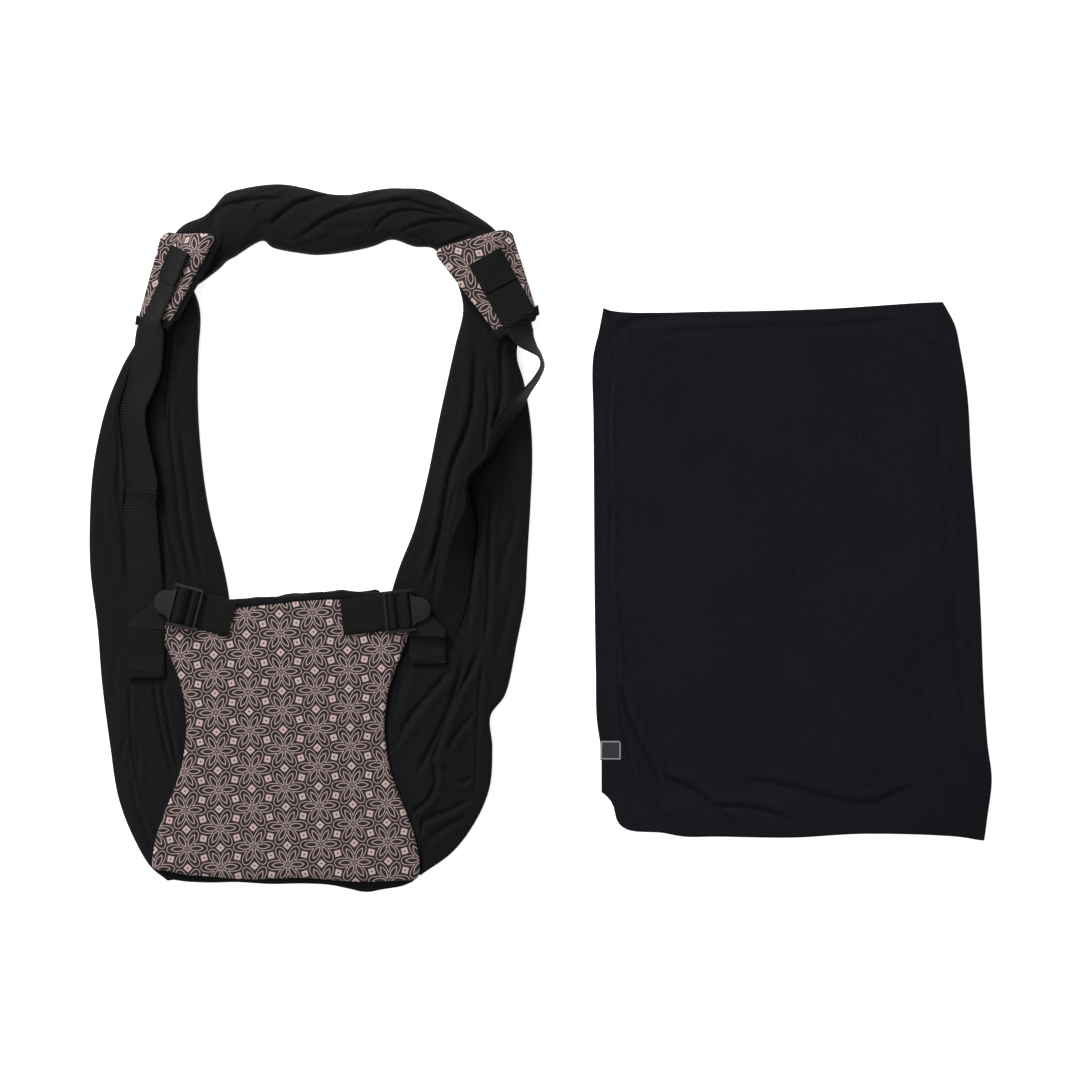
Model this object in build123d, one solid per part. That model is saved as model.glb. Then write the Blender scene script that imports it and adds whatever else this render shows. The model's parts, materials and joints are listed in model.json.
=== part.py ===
"""A pull-on baby wrap sling laid out flat, with its matching support sash beside it. Millimetres, +Z up.

The sling is one loop of gathered jersey: two side bands, a twisted back and a front section. A padded panel
is sewn on the front. Two shoulder patches carry webbing straps that run down to ladder locks on the panel.
The origin is on the floor, at the middle of the whole set. +Y points from the panel to the shoulders.
"""

from build123d import *

import os
from math import atan2, cos, degrees, radians, sin

# ---- driving dimensions ----
WEBBING_WIDTH = 38.0
WEBBING_THICK = 1.6
LAYER_GAP = 0.4            # air between two layers of webbing that slide on each other
CLOTH_HEIGHT = 14.0        # gathered jersey lying flat
CLOTH_GAP = 1.0            # between two stretches of gathered jersey

PANEL_CENTRE_X = -267.0
PANEL_TOP_Y, PANEL_WAIST_Y, PANEL_BOTTOM_Y = -64.0, -200.0, -360.0
PANEL_TOP_HALF, PANEL_WAIST_HALF, PANEL_BOTTOM_HALF = 130.0, 103.0, 141.0
PANEL_CORNER_RADIUS = 9.0
PANEL_SKIN, PANEL_THICK, PANEL_HEM = 1.2, 7.0, 5.0
PANEL_TOP_Z = CLOTH_HEIGHT + PANEL_THICK
PANEL_BINDING_FROM_X, PANEL_BINDING_TO_X, PANEL_BINDING_DEPTH = -327.0, -165.0, 7.0

PATCH_LENGTH, PATCH_SKIN, PATCH_PAD = 104.0, 1.2, 4.5
PATCH_THICK = 2 * PATCH_SKIN + PATCH_PAD
PATCH_INSET = 4.0          # from the cover's edge to the padding
BINDING_LENGTH = 8.0
PATCH_PITCH = 3.5          # the patch falls this many degrees towards its narrow end
PATCH_CROWN_Z = 27.0       # underside of the patch, at its middle
PATCH_AIR = 0.3            # between the patch and the cloth that it lies on
STRAP_END_FROM, STRAP_END_TO = 34.0, -2.0   # the doubled, box-stitched end, along the patch

LOCK_RAIL, LOCK_PLAY = 3.0, 0.25
LOCK_HALF = WEBBING_WIDTH / 2 + LOCK_PLAY + LOCK_RAIL
LOCK_END, LOCK_SHOULDER, LOCK_TIP = -8.0, 20.0, 40.0   # along the lock, from its pivot bar
PIVOT_RADIUS = 2.0
PIVOT_CLEARANCE = 0.1
PIVOT_HEIGHT = 6.5         # above the panel
GRIP_BAR_FROM, GRIP_BAR_TO = 11.0, 16.0

LOOP_BOTTOM_Y = -147.0     # where the slack of each strap turns back
LOOP_RADIUS = 3.2          # of the webbing's centre line

SASH_LEFT, SASH_RIGHT = -418.0 / 2 + 265.5, 418.0 / 2 + 265.5
SASH_TOP, SASH_BOTTOM = 250.0, -318.0
SASH_LAYER = 2.2           # one layer of the folded cloth with its share of air
SASH_LOWER_LAYERS = 2
LABEL_SIZE = (24.0, 22.0, 0.6)
LABEL_CENTRE = (SASH_LEFT + 18.0, -223.0)

# Across each band, from Y of the cut: outer edge, inner edge, height of the gathered cloth.
LEFT_BAND = [
    (260, -411, -362, 22.0),
    (220, -424, -355, 21.0),
    (168, -442, -359, 18.0),
    (105, -463, -358, 16.0),
    (10, -474.5, -345, 15.0),
    (-62, -467, -330, CLOTH_HEIGHT),
    (-150, -466, -360, CLOTH_HEIGHT),
    (-200, -459, -371, CLOTH_HEIGHT),
    (-274, -442, -374, CLOTH_HEIGHT),
    (-326, -422, -382, CLOTH_HEIGHT),
    (-358, -400, -388, CLOTH_HEIGHT),
]
RIGHT_BAND = [
    (260, -12, -78, 22.0),
    (220, -26, -86, 21.0),
    (168, -18, -99, 18.0),
    (105, -10, -113, 16.0),
    (10, -9, -138, 15.0),
    (-62, -16, -160, CLOTH_HEIGHT),
    (-150, -32, -165, CLOTH_HEIGHT),
    (-184, -51, -165, CLOTH_HEIGHT),
    (-247, -50, -165, CLOTH_HEIGHT),
    (-309, -75, -158, CLOTH_HEIGHT),
    (-337, -95, -152, CLOTH_HEIGHT),
    (-356, -123, -146, CLOTH_HEIGHT),
]
FRONT_TOP_Y, FRONT_BOTTOM_LEFT_Y, FRONT_BOTTOM_RIGHT_Y = -56.0, -362.0, -372.2

# The twisted back: centre x, centre y, heading in degrees, half width, half height.
BACK_TWIST = [
    (-395, 236, 64, 22, 11.0),
    (-376, 279, 58, 27, 12.0),
    (-340, 319, 36, 30, 13.0),
    (-292, 342, 8, 29, 15.0),
    (-250, 336, -3, 34, 17.0),
    (-205, 332, 2, 31, 17.0),
    (-158, 341, -2, 27, 15.0),
    (-113, 330, -28, 32, 13.0),
    (-72, 296, -50, 33, 12.0),
    (-42, 240, -64, 27, 11.0),
]

# Each adjuster strap below its patch: centre x, centre y, underside z, roll of the webbing in degrees.
LEFT_STRAP = [
    (-407, 220, 30.6, 0),
    (-413, 190, 25.5, 0),
    (-421, 150, 21.5, 0),
    (-424, 105, 18.0, 0),
    (-420, 60, 18.5, 0),
    (-418, 0, 16.0, 0),
    (-417, -55, 14.4, 0),
    (-417, LOOP_BOTTOM_Y + 15, 14.4, 0),
]
RIGHT_STRAP = [
    (-20, 219, 30.6, 0),
    (-11, 203, 33.0, -20),
    (0, 190, 33.0, -72),
    (-6, 172, 37.0, -72),
    (-24, 140, 33.0, -40),
    (-44, 100, 28.0, -30),
    (-69, 68, 35.0, -70),
    (-74, 40, 35.0, -70),
    (-74, 0, 23.0, -20),
    (-85, -50, 14.6, 0),
    (-97, LOOP_BOTTOM_Y + 15, 14.6, 0),
]

# Each side: patch centre and turn, projected half widths, arch radius, lock pivot and turn, anchor length, loop x.
SIDES = {
    "left": dict(
        patch=(-385.0, 271.0), patch_turn=-23.8, patch_half=(30.0, 19.5), arch=40.0,
        pivot=(-364.5, -73.5), lock_turn=180 - 14.4, anchor=44.0, loop_x=-417.0, strap=LEFT_STRAP,
    ),
    "right": dict(
        patch=(-46.0, 267.0), patch_turn=28.5, patch_half=(40.0, 23.0), arch=70.0,
        pivot=(-154.5, -77.0), lock_turn=6.0, anchor=54.0, loop_x=-97.0, strap=RIGHT_STRAP,
    ),
}


def save(shape, node):
    export_step(shape, f"parts/{node}.step")


# ---- the gathered jersey ----
def band(cuts):
    """A side band: a ruled loft through rounded cuts that all stand on the floor."""
    sections = []
    for y, edge_a, edge_b, height in cuts:
        width = abs(edge_b - edge_a)
        plane = Plane(origin=((edge_a + edge_b) / 2, y, height / 2), x_dir=(1, 0, 0), z_dir=(0, -1, 0))
        sections.append(plane * RectangleRounded(width, height, min(0.45 * height, 0.45 * width)))
    return loft(sections, ruled=True)


def front_section():
    """The stretch behind the panel, between the two bands' inner edges."""
    left = [(inner + CLOTH_GAP, y) for y, _, inner, _ in LEFT_BAND if y <= FRONT_TOP_Y]
    right = [(inner - CLOTH_GAP, y) for y, _, inner, _ in RIGHT_BAND if y <= FRONT_TOP_Y]
    outline = [(left[0][0] + 3, FRONT_TOP_Y), *left, (left[-1][0] - 8, FRONT_BOTTOM_LEFT_Y)]
    outline += [(-150, FRONT_BOTTOM_RIGHT_Y + 6), (-142, FRONT_BOTTOM_RIGHT_Y), (right[-1][0] + 18, right[-1][1] - 6)]
    outline += [*reversed(right), (right[0][0] - 3, FRONT_TOP_Y)]
    return extrude(make_face(Polyline(*outline, close=True)), CLOTH_HEIGHT)


def back_twist():
    """The twisted back, cut off where the bands begin under the shoulder patches."""
    sections = []
    for x, y, heading, half_width, half_height in BACK_TWIST:
        along = Vector(cos(radians(heading)), sin(radians(heading)), 0)
        across = Vector(-along.Y, along.X, 0)
        sections.append(Plane(origin=(x, y, half_height), x_dir=across, z_dir=along) * Ellipse(half_width, half_height))
    bands_from_y = LEFT_BAND[0][0] + CLOTH_GAP
    below = Pos(0, bands_from_y - 100, 0) * Box(1200, 200, 200)
    return loft(sections) - below


# ---- the padded panel ----
def panel_outline(inset=0.0):
    """The hourglass face of the panel, drawn in by inset all round."""
    top = PANEL_TOP_Y - inset
    bottom = PANEL_BOTTOM_Y + inset
    x = PANEL_CENTRE_X
    sides = []
    for side in (-1, 1):
        points = [
            (x + side * (PANEL_TOP_HALF - inset), top),
            (x + side * (PANEL_WAIST_HALF - inset), PANEL_WAIST_Y),
            (x + side * (PANEL_BOTTOM_HALF - inset), bottom),
        ]
        sides.append(Spline(*points, tangents=[(-side * 0.3, -1), (side * 0.45, -1)]))
    edges = [*sides, Line(sides[0] @ 0, sides[1] @ 0), Line(sides[0] @ 1, sides[1] @ 1)]
    face = make_face(Wire(Wire.combine(edges)[0].edges()))
    return fillet(face.vertices(), PANEL_CORNER_RADIUS - inset)


def build_panel():
    lining = extrude(Pos(0, 0, CLOTH_HEIGHT) * panel_outline(), PANEL_SKIN)
    pad_from = CLOTH_HEIGHT + PANEL_SKIN
    pad_thick = PANEL_THICK - 2 * PANEL_SKIN
    padding = extrude(Pos(0, 0, pad_from) * panel_outline(PANEL_HEM), pad_thick)
    cover = extrude(Pos(0, 0, pad_from) * panel_outline(), PANEL_THICK - PANEL_SKIN) - padding
    binding_x = (PANEL_BINDING_FROM_X + PANEL_BINDING_TO_X) / 2
    binding_size = (PANEL_BINDING_TO_X - PANEL_BINDING_FROM_X, PANEL_BINDING_DEPTH, PANEL_THICK - 1)
    binding_place = Pos(binding_x, PANEL_TOP_Y + PANEL_BINDING_DEPTH / 2, CLOTH_HEIGHT + binding_size[2] / 2)
    save(lining, "panel_lining")
    save(padding, "panel_padding")
    save(cover, "panel_face")
    save(binding_place * Box(*binding_size), "panel_top_binding")


# ---- the shoulder patches, in their own frame: +Y along the patch to its wide end, crown at z 0 ----
def arch(radius, low, high, outline):
    """A layer from low to high above a barrel of that radius, cut to an outline in plan."""
    length = 3 * PATCH_LENGTH
    barrel = Cylinder(radius + high, length) - Cylinder(radius + low, length)
    barrel = Pos(0, 0, -radius) * Rot(90, 0, 0) * barrel
    prism = extrude(Pos(0, 0, -0.8 * radius) * outline, 2 * radius)
    return barrel & prism


def trapezoid(half_top, half_bottom, top_y, bottom_y):
    return make_face(Polyline(
        (-half_top, top_y), (half_top, top_y), (half_bottom, bottom_y), (-half_bottom, bottom_y), close=True
    ))


def strip(from_y, to_y, half=WEBBING_WIDTH / 2):
    return trapezoid(half, half, from_y, to_y)


def stitch_rows(low_y, high_y, half):
    """A box of stitching with a cross row at its middle, as separate bars of thread."""
    rows = [(0, low_y), (0, high_y), (0, (low_y + high_y) / 2)]
    bars = [Pos(x, y) * Rectangle(2 * half, 1.0) for x, y in rows]
    sides = [Pos(side * (half + 1.5), (low_y + high_y) / 2) * Rectangle(1.0, high_y - low_y) for side in (-1, 1)]
    return bars + sides


def patch_place(side):
    x, y = side["patch"]
    return Pos(x, y, PATCH_CROWN_Z) * Rot(0, 0, side["patch_turn"]) * Rot(PATCH_PITCH, 0, 0)


def pressed_by_patches(cloth):
    """The gathered cloth is pressed down where the shoulder patches lie on it."""
    for side in SIDES.values():
        half = side["patch_half"][0] + 6
        press = arch(side["arch"], -PATCH_AIR, 26, strip(PATCH_LENGTH / 2 + 2, -PATCH_LENGTH / 2 - 12, half))
        cloth = cloth - patch_place(side) * press
    return cloth


def build_patch(name, side):
    place = patch_place(side)
    half_top, half_bottom = side["patch_half"]
    radius = side["arch"]
    top_y, bottom_y = PATCH_LENGTH / 2, -PATCH_LENGTH / 2
    outline = trapezoid(half_top, half_bottom, top_y, bottom_y)
    inner = trapezoid(half_top - PATCH_INSET, half_bottom - PATCH_INSET, top_y - PATCH_INSET, bottom_y + PATCH_INSET)
    lining = arch(radius, 0, PATCH_SKIN, outline)
    padding = arch(radius, PATCH_SKIN, PATCH_SKIN + PATCH_PAD, inner)
    cover = arch(radius, PATCH_SKIN, PATCH_THICK, outline) - padding
    binding_outline = trapezoid(half_bottom + 3, half_bottom + 2.5, bottom_y, bottom_y - BINDING_LENGTH)
    binding = arch(radius, 0.6, PATCH_THICK - 0.6, binding_outline)
    sewn = arch(radius, PATCH_THICK, PATCH_THICK + WEBBING_THICK, strip(STRAP_END_FROM, bottom_y + 1))
    doubled = arch(radius, PATCH_THICK + WEBBING_THICK, PATCH_THICK + 2 * WEBBING_THICK, strip(STRAP_END_FROM, STRAP_END_TO))
    rows = stitch_rows(STRAP_END_TO + 5, STRAP_END_FROM - 5, WEBBING_WIDTH / 2 - 5)
    thread_low = PATCH_THICK + 2 * WEBBING_THICK
    stitching = Compound(children=[arch(radius, thread_low, thread_low + 0.4, row) for row in rows])
    save(place * lining, f"{name}_shoulder_lining")
    save(place * padding, f"{name}_shoulder_padding")
    save(place * cover, f"{name}_shoulder_cover")
    save(place * binding, f"{name}_shoulder_binding")
    save(place * (sewn + doubled), f"{name}_strap_sewn_end")
    save(place * stitching, f"{name}_strap_stitching")


# ---- the adjuster straps ----
def ribbon(path):
    """Webbing that follows its centre points flat, or rolled about its own run."""
    sections = []
    for i, (x, y, z, roll) in enumerate(path):
        x0, y0 = path[max(i - 1, 0)][:2]
        x1, y1 = path[min(i + 1, len(path) - 1)][:2]
        heading = degrees(atan2(y1 - y0, x1 - x0))
        place = Pos(x, y, z + WEBBING_THICK / 2) * Rot(0, 0, heading) * Rot(roll, 0, 0) * Rot(0, 90, 0)
        sections.append(place * Rectangle(WEBBING_THICK, WEBBING_WIDTH))
    return loft(sections, ruled=True)


def slack_loop(centre_x):
    """Where the strap's slack turns back on itself: a hairpin of webbing."""
    low_z = CLOTH_HEIGHT + 0.4 + WEBBING_THICK + LAYER_GAP + WEBBING_THICK / 2
    high_z = low_z + 2 * LOOP_RADIUS
    turn_y = LOOP_BOTTOM_Y + LOOP_RADIUS + WEBBING_THICK / 2
    end_y = -106.0
    centre_line = Wire([
        Edge.make_line((centre_x, end_y, low_z), (centre_x, turn_y, low_z)),
        Edge.make_three_point_arc(
            (centre_x, turn_y, low_z), (centre_x, turn_y - LOOP_RADIUS, (low_z + high_z) / 2), (centre_x, turn_y, high_z)
        ),
        Edge.make_line((centre_x, turn_y, high_z), (centre_x, end_y, high_z)),
    ])
    start = Plane(origin=(centre_x, end_y, low_z), x_dir=(1, 0, 0), z_dir=(0, -1, 0))
    return sweep(start * Rectangle(WEBBING_WIDTH, WEBBING_THICK), path=centre_line)


def strap_turn(side):
    """The folded corner between the slack and the lock: two layers of webbing."""
    x = side["loop_x"]
    outward = -1 if side["lock_turn"] > 90 else 1
    outer, inner = x + outward * WEBBING_WIDTH / 2, x - outward * 6
    corner = make_face(Polyline((outer, -104), (inner, -104), (inner, -62), (outer, -84), close=True))
    low = PANEL_TOP_Z + 2 * WEBBING_THICK + 2.5 * LAYER_GAP
    return extrude(Pos(0, 0, low) * corner, 2 * WEBBING_THICK)


# ---- the ladder locks, in their own frame: +X from the pivot bar to the tab, the bar on the Y axis ----
def lock_place(side):
    x, y = side["pivot"]
    return Pos(x, y, PANEL_TOP_Z + PIVOT_HEIGHT) * Rot(0, 0, side["lock_turn"])


def ladder_lock():
    half = LOCK_HALF
    rail_side = make_face(Polyline(
        (LOCK_END, 2.0), (-2.5, -1.5), (LOCK_SHOULDER + 1, -1.5), (LOCK_SHOULDER + 3, 0.6),
        (LOCK_SHOULDER + 3, 3.0), (LOCK_END + 1, 3.6), (LOCK_END, 3.2), close=True,
    ))
    rail = extrude(Plane.XZ * rail_side, LOCK_RAIL)
    body = Pos(0, half, 0) * rail + Pos(0, LOCK_RAIL - half, 0) * rail
    body += Rot(90, 0, 0) * Cylinder(PIVOT_RADIUS, 2 * half - LOCK_RAIL)
    body += Pos(LOCK_END + 1.1, 0, 2.9) * Box(2.2, 2 * half - LOCK_RAIL, 1.4)
    grip_middle = (GRIP_BAR_FROM + GRIP_BAR_TO) / 2
    body += Pos(grip_middle, 0, 0) * Box(GRIP_BAR_TO - GRIP_BAR_FROM, 2 * half - LOCK_RAIL, 3.0)
    neck_x, neck_half = LOCK_SHOULDER + 7.0, 13.0
    tab = Wire([
        Edge.make_line((LOCK_SHOULDER, -half), (LOCK_SHOULDER, half)),
        Edge.make_three_point_arc((LOCK_SHOULDER, half), (LOCK_SHOULDER + 2.2, 15.5), (neck_x, neck_half)),
        Edge.make_three_point_arc((neck_x, neck_half), (LOCK_TIP, 0), (neck_x, -neck_half)),
        Edge.make_three_point_arc((neck_x, -neck_half), (LOCK_SHOULDER + 2.2, -15.5), (LOCK_SHOULDER, -half)),
    ])
    return body + extrude(Pos(0, 0, 0.5) * make_face(tab), 2.5)


def strap_bight():
    """The strap where it goes over the grip bar, down to just under the lock."""
    clear, thick = 0.3, WEBBING_THICK
    bar_top = 1.5
    low, x0, x1 = -2.0, GRIP_BAR_FROM - clear, GRIP_BAR_TO + clear
    profile = make_face(Polyline(
        (x0 - thick, low), (x0, low), (x0, bar_top + clear), (x1, bar_top + clear), (x1, low),
        (x1 + thick, low), (x1 + thick, bar_top + clear + thick), (x0 - thick, bar_top + clear + thick), close=True,
    ))
    return Pos(0, WEBBING_WIDTH / 2, 0) * extrude(Plane.XZ * profile, WEBBING_WIDTH)


def anchor_webbing(length):
    """Webbing that comes off the panel, goes round the pivot bar and back, and is sewn down double."""
    stack_top = -PIVOT_HEIGHT + 2 * WEBBING_THICK
    inner_radius = PIVOT_RADIUS + PIVOT_CLEARANCE
    stack_end = -9.5
    outer = make_hull(
        (Circle(inner_radius + WEBBING_THICK)
         + Pos(stack_end, -PIVOT_HEIGHT + WEBBING_THICK) * Rectangle(0.6, 2 * WEBBING_THICK)).edges()
    )
    inner = make_hull((Circle(inner_radius) + Pos(stack_end + 3.4, -PIVOT_HEIGHT + 2.9) * Circle(0.3)).edges())
    loop_length = length + stack_end
    stack = Pos(stack_end - loop_length / 2, (stack_top - PIVOT_HEIGHT) / 2) * Rectangle(loop_length, 2 * WEBBING_THICK)
    profile = outer + stack - inner
    return Pos(0, WEBBING_WIDTH / 2, 0) * extrude(Plane.XZ * profile, WEBBING_WIDTH)


def flat_strip(from_x, to_x, low, thick, width=WEBBING_WIDTH):
    return Pos((from_x + to_x) / 2, 0, low + thick / 2 - PIVOT_HEIGHT) * Box(to_x - from_x, width, thick)


def strap_tail():
    """The strap's end under the tab, turned over and sewn so that it can't pull through."""
    low = 2 * LAYER_GAP + WEBBING_THICK
    end = LOCK_SHOULDER + 5
    return flat_strip(8, end, low, WEBBING_THICK) + flat_strip(end - 6, end, low + WEBBING_THICK, WEBBING_THICK)


def build_lock(name, side):
    place = lock_place(side)
    length = side["anchor"]
    sewn_from, sewn_to = -length + 4, -15.0
    middle = (sewn_from + sewn_to) / 2
    span = sewn_to - sewn_from
    top = 2 * WEBBING_THICK - PIVOT_HEIGHT
    bars = [Pos(x, 0, top + 0.2) * Box(1.0, WEBBING_WIDTH - 8, 0.4) for x in (sewn_from, middle, sewn_to)]
    bars += [Pos(middle, y, top + 0.2) * Box(span - 2, 1.0, 0.4) for y in (-16.5, 16.5)]
    save(place * ladder_lock(), f"{name}_ladder_lock")
    save(place * strap_bight(), f"{name}_strap_bight")
    save(place * anchor_webbing(length), f"{name}_anchor_webbing")
    save(place * Compound(children=bars), f"{name}_anchor_stitching")
    save(place * flat_strip(5, LOCK_TIP + 2, LAYER_GAP, WEBBING_THICK), f"{name}_strap_under_lock")
    save(place * strap_tail(), f"{name}_strap_tail")


# ---- the sash ----
def build_sash():
    """Three layers of a z-folded sash; the two lower ones show as a step along the left side."""
    left, right, top, bottom = SASH_LEFT, SASH_RIGHT, SASH_TOP, SASH_BOTTOM
    lower = make_face(Polyline(
        (left + 12, top - 4), (left + 130, top - 11), (right - 52, top - 1), (right - 38, top - 20),
        (right - 22, top - 120), (right - 10, bottom + 150), (right - 7, bottom + 3), (left + 94, bottom + 5),
        (left + 24, bottom + 20), (left + 19, bottom + 40), (left + 6, bottom + 54), (left, top - 70), close=True,
    ))
    upper = make_face(Polyline(
        (left + 13, top - 25), (left + 20, top - 14), (left + 130, top - 12), (right - 52, top),
        (right - 34, top - 30), (right - 20, top - 120), (right, bottom + 64), (right - 8, bottom),
        (left + 96, bottom + 4), (left + 68, bottom + 63), (left + 38, bottom + 113), (left + 24, bottom + 153),
        (left + 17, bottom + 238), close=True,
    ))
    lower_height = SASH_LOWER_LAYERS * SASH_LAYER
    cloth = extrude(lower, lower_height) + extrude(Pos(0, 0, lower_height) * upper, SASH_LAYER)
    label = Pos(*LABEL_CENTRE, lower_height + LABEL_SIZE[2] / 2) * Box(*LABEL_SIZE)
    save(cloth, "sash_cloth")
    save(label, "sash_label")


def main():
    os.makedirs("parts", exist_ok=True)
    save(pressed_by_patches(band(LEFT_BAND)), "wrap_left_band")
    save(pressed_by_patches(band(RIGHT_BAND)), "wrap_right_band")
    save(pressed_by_patches(back_twist()), "wrap_back_twist")
    save(front_section(), "wrap_front_section")
    build_panel()
    for name, side in SIDES.items():
        build_patch(name, side)
        save(ribbon(side["strap"]), f"{name}_adjuster_strap")
        save(slack_loop(side["loop_x"]), f"{name}_slack_loop")
        save(strap_turn(side), f"{name}_strap_turn")
        build_lock(name, side)
    build_sash()


main()
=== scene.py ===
"""Looks of a pull-on baby wrap sling laid flat beside its folded sash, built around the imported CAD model.

Lengths are in millimetres until a mesh is made. +X runs from the sling to the sash, +Y towards the shoulders.
"""

import json
import math
from contextlib import contextmanager
from functools import partialmethod

import bmesh
import bpy
import numpy as np
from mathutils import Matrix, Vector
from mathutils.bvhtree import BVHTree

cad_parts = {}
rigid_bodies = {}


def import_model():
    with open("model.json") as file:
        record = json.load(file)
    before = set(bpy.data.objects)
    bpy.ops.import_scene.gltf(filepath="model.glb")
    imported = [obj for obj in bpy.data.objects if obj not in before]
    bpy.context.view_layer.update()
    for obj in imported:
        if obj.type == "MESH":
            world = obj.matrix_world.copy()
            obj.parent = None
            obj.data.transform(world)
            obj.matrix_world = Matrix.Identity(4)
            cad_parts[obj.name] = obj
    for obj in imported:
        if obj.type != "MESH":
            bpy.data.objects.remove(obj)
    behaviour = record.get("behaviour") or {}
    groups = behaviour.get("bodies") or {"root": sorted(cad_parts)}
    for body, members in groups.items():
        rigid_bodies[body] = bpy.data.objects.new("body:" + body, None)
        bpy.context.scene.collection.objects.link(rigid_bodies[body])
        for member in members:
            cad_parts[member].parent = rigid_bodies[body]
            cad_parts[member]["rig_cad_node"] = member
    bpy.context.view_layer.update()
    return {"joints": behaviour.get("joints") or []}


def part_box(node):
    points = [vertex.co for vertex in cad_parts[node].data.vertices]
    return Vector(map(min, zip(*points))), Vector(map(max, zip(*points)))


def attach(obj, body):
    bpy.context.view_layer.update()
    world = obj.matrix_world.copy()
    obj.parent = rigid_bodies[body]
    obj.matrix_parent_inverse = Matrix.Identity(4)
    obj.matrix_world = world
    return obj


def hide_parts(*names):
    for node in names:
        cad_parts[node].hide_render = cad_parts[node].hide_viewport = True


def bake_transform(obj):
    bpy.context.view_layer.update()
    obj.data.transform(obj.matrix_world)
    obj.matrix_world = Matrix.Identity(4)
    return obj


MM = 0.001
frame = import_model()
SIDES = ("left", "right")
WEBBING = {"width": 38.0, "thick": 1.6, "rib": 2.4, "rib_height": 0.17}
STITCH = {"length": 2.6, "gap": 0.9, "radius": 0.27}
JERSEY_THICK = 0.9
FLOOR_AIR = 0.35
CLOTH_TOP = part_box("wrap_front_section")[1].z / MM
PANEL_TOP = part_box("panel_face")[1].z / MM


# ---------------------------------------------------------------- curves, noise and folds
def smooth_curve(points, samples, dims=2):
    """A smooth curve through the points, evenly spaced by the length of its first columns."""
    p = np.array(points, float)
    p = np.vstack([2 * p[0] - p[1], p, 2 * p[-1] - p[-2]])
    gaps = np.maximum(np.linalg.norm(np.diff(p[:, :dims], axis=0), axis=1), 1e-6) ** 0.5
    t = np.linspace(0, 1, 24, endpoint=False)[:, None]
    runs = []
    for i in range(1, len(p) - 2):
        before, here, after = gaps[i - 1], gaps[i], gaps[i + 1]
        step, last, following = p[i + 1] - p[i], p[i] - p[i - 1], p[i + 2] - p[i + 1]
        start = here * (last / before - (last + step) / (before + here) + step / here)
        end = here * (step / here - (step + following) / (here + after) + following / after)
        runs.append(p[i] + start * t + (3 * step - 2 * start - end) * t**2 + (start + end - 2 * step) * t**3)
    fine = np.vstack(runs + [p[-2][None]])
    length = np.concatenate([[0], np.cumsum(np.linalg.norm(np.diff(fine[:, :dims], axis=0), axis=1))])
    places = np.linspace(0, length[-1], samples)
    return np.column_stack([np.interp(places, length, column) for column in fine.T])


def smoothstep(t):
    t = np.clip(t, 0, 1)
    return t * t * (3 - 2 * t)


def noise(u, v, seed):
    """Smooth value noise between -1 and 1, one cell per unit."""
    cells = np.random.RandomState(seed).rand(64, 64) * 2 - 1
    iu, iv = np.floor(u).astype(int), np.floor(v).astype(int)
    fu, fv = smoothstep(u - iu), smoothstep(v - iv)
    low = cells[iu % 64, iv % 64] * (1 - fu) + cells[(iu + 1) % 64, iv % 64] * fu
    high = cells[iu % 64, (iv + 1) % 64] * (1 - fu) + cells[(iu + 1) % 64, (iv + 1) % 64] * fu
    return low * (1 - fv) + high * fv


def beside(x, y, line):
    """Signed distance to a line in plan, positive on its right, and how far along it the nearest point is."""
    best = np.full(x.shape, 1e9)
    signed, along = np.zeros(x.shape), np.zeros(x.shape)
    for i in range(len(line) - 1):
        (ax, ay), (bx, by) = line[i], line[i + 1]
        dx, dy = bx - ax, by - ay
        t = np.clip(((x - ax) * dx + (y - ay) * dy) / (dx * dx + dy * dy), 0, 1)
        off_x, off_y = x - ax - t * dx, y - ay - t * dy
        distance = np.hypot(off_x, off_y)
        nearer = distance < best
        best = np.where(nearer, distance, best)
        signed = np.where(nearer, np.sign(off_x * dy - off_y * dx) * distance, signed)
        along = np.where(nearer, (i + t) / (len(line) - 1), along)
    return signed, along


def folds_height(x, y, folds):
    """The height of folds, each (points, depth, reach): a groove with a soft ridge on the left of its run.

    Where folds lie close together the deepest groove wins, so a ridge doesn't fill its neighbour's groove.
    """
    groove_width, ridge_width, ridge_off, fade = 0.42, 0.75, 0.95, 0.16
    groove_share, ridge_share = 0.8, 0.5
    grooves, ridges, shade = np.zeros(x.shape), np.zeros(x.shape), np.zeros(x.shape)
    for points, depth, reach in folds:
        signed, along = beside(x, y, smooth_curve(points, 24))
        ends = smoothstep(along / fade) * smoothstep((1 - along) / fade)
        groove = ends * np.exp(-((signed / (groove_width * reach)) ** 2))
        ridge = ends * np.exp(-(((signed + ridge_off * reach) / (ridge_width * reach)) ** 2))
        grooves = np.maximum(grooves, depth * groove)
        ridges = np.maximum(ridges, depth * ridge)
        shade = np.maximum(shade, groove)
    return ridge_share * ridges * (1 - shade) - groove_share * grooves


# ---------------------------------------------------------------- meshes
@contextmanager
def opened(mesh):
    """A mesh opened for changes, and written back after them."""
    work = bmesh.new()
    work.from_mesh(mesh)
    yield work
    work.to_mesh(mesh)
    work.free()


def linked(name, data):
    """A new object of the scene."""
    obj = bpy.data.objects.new(name, data)
    bpy.context.scene.collection.objects.link(obj)
    return obj


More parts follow.
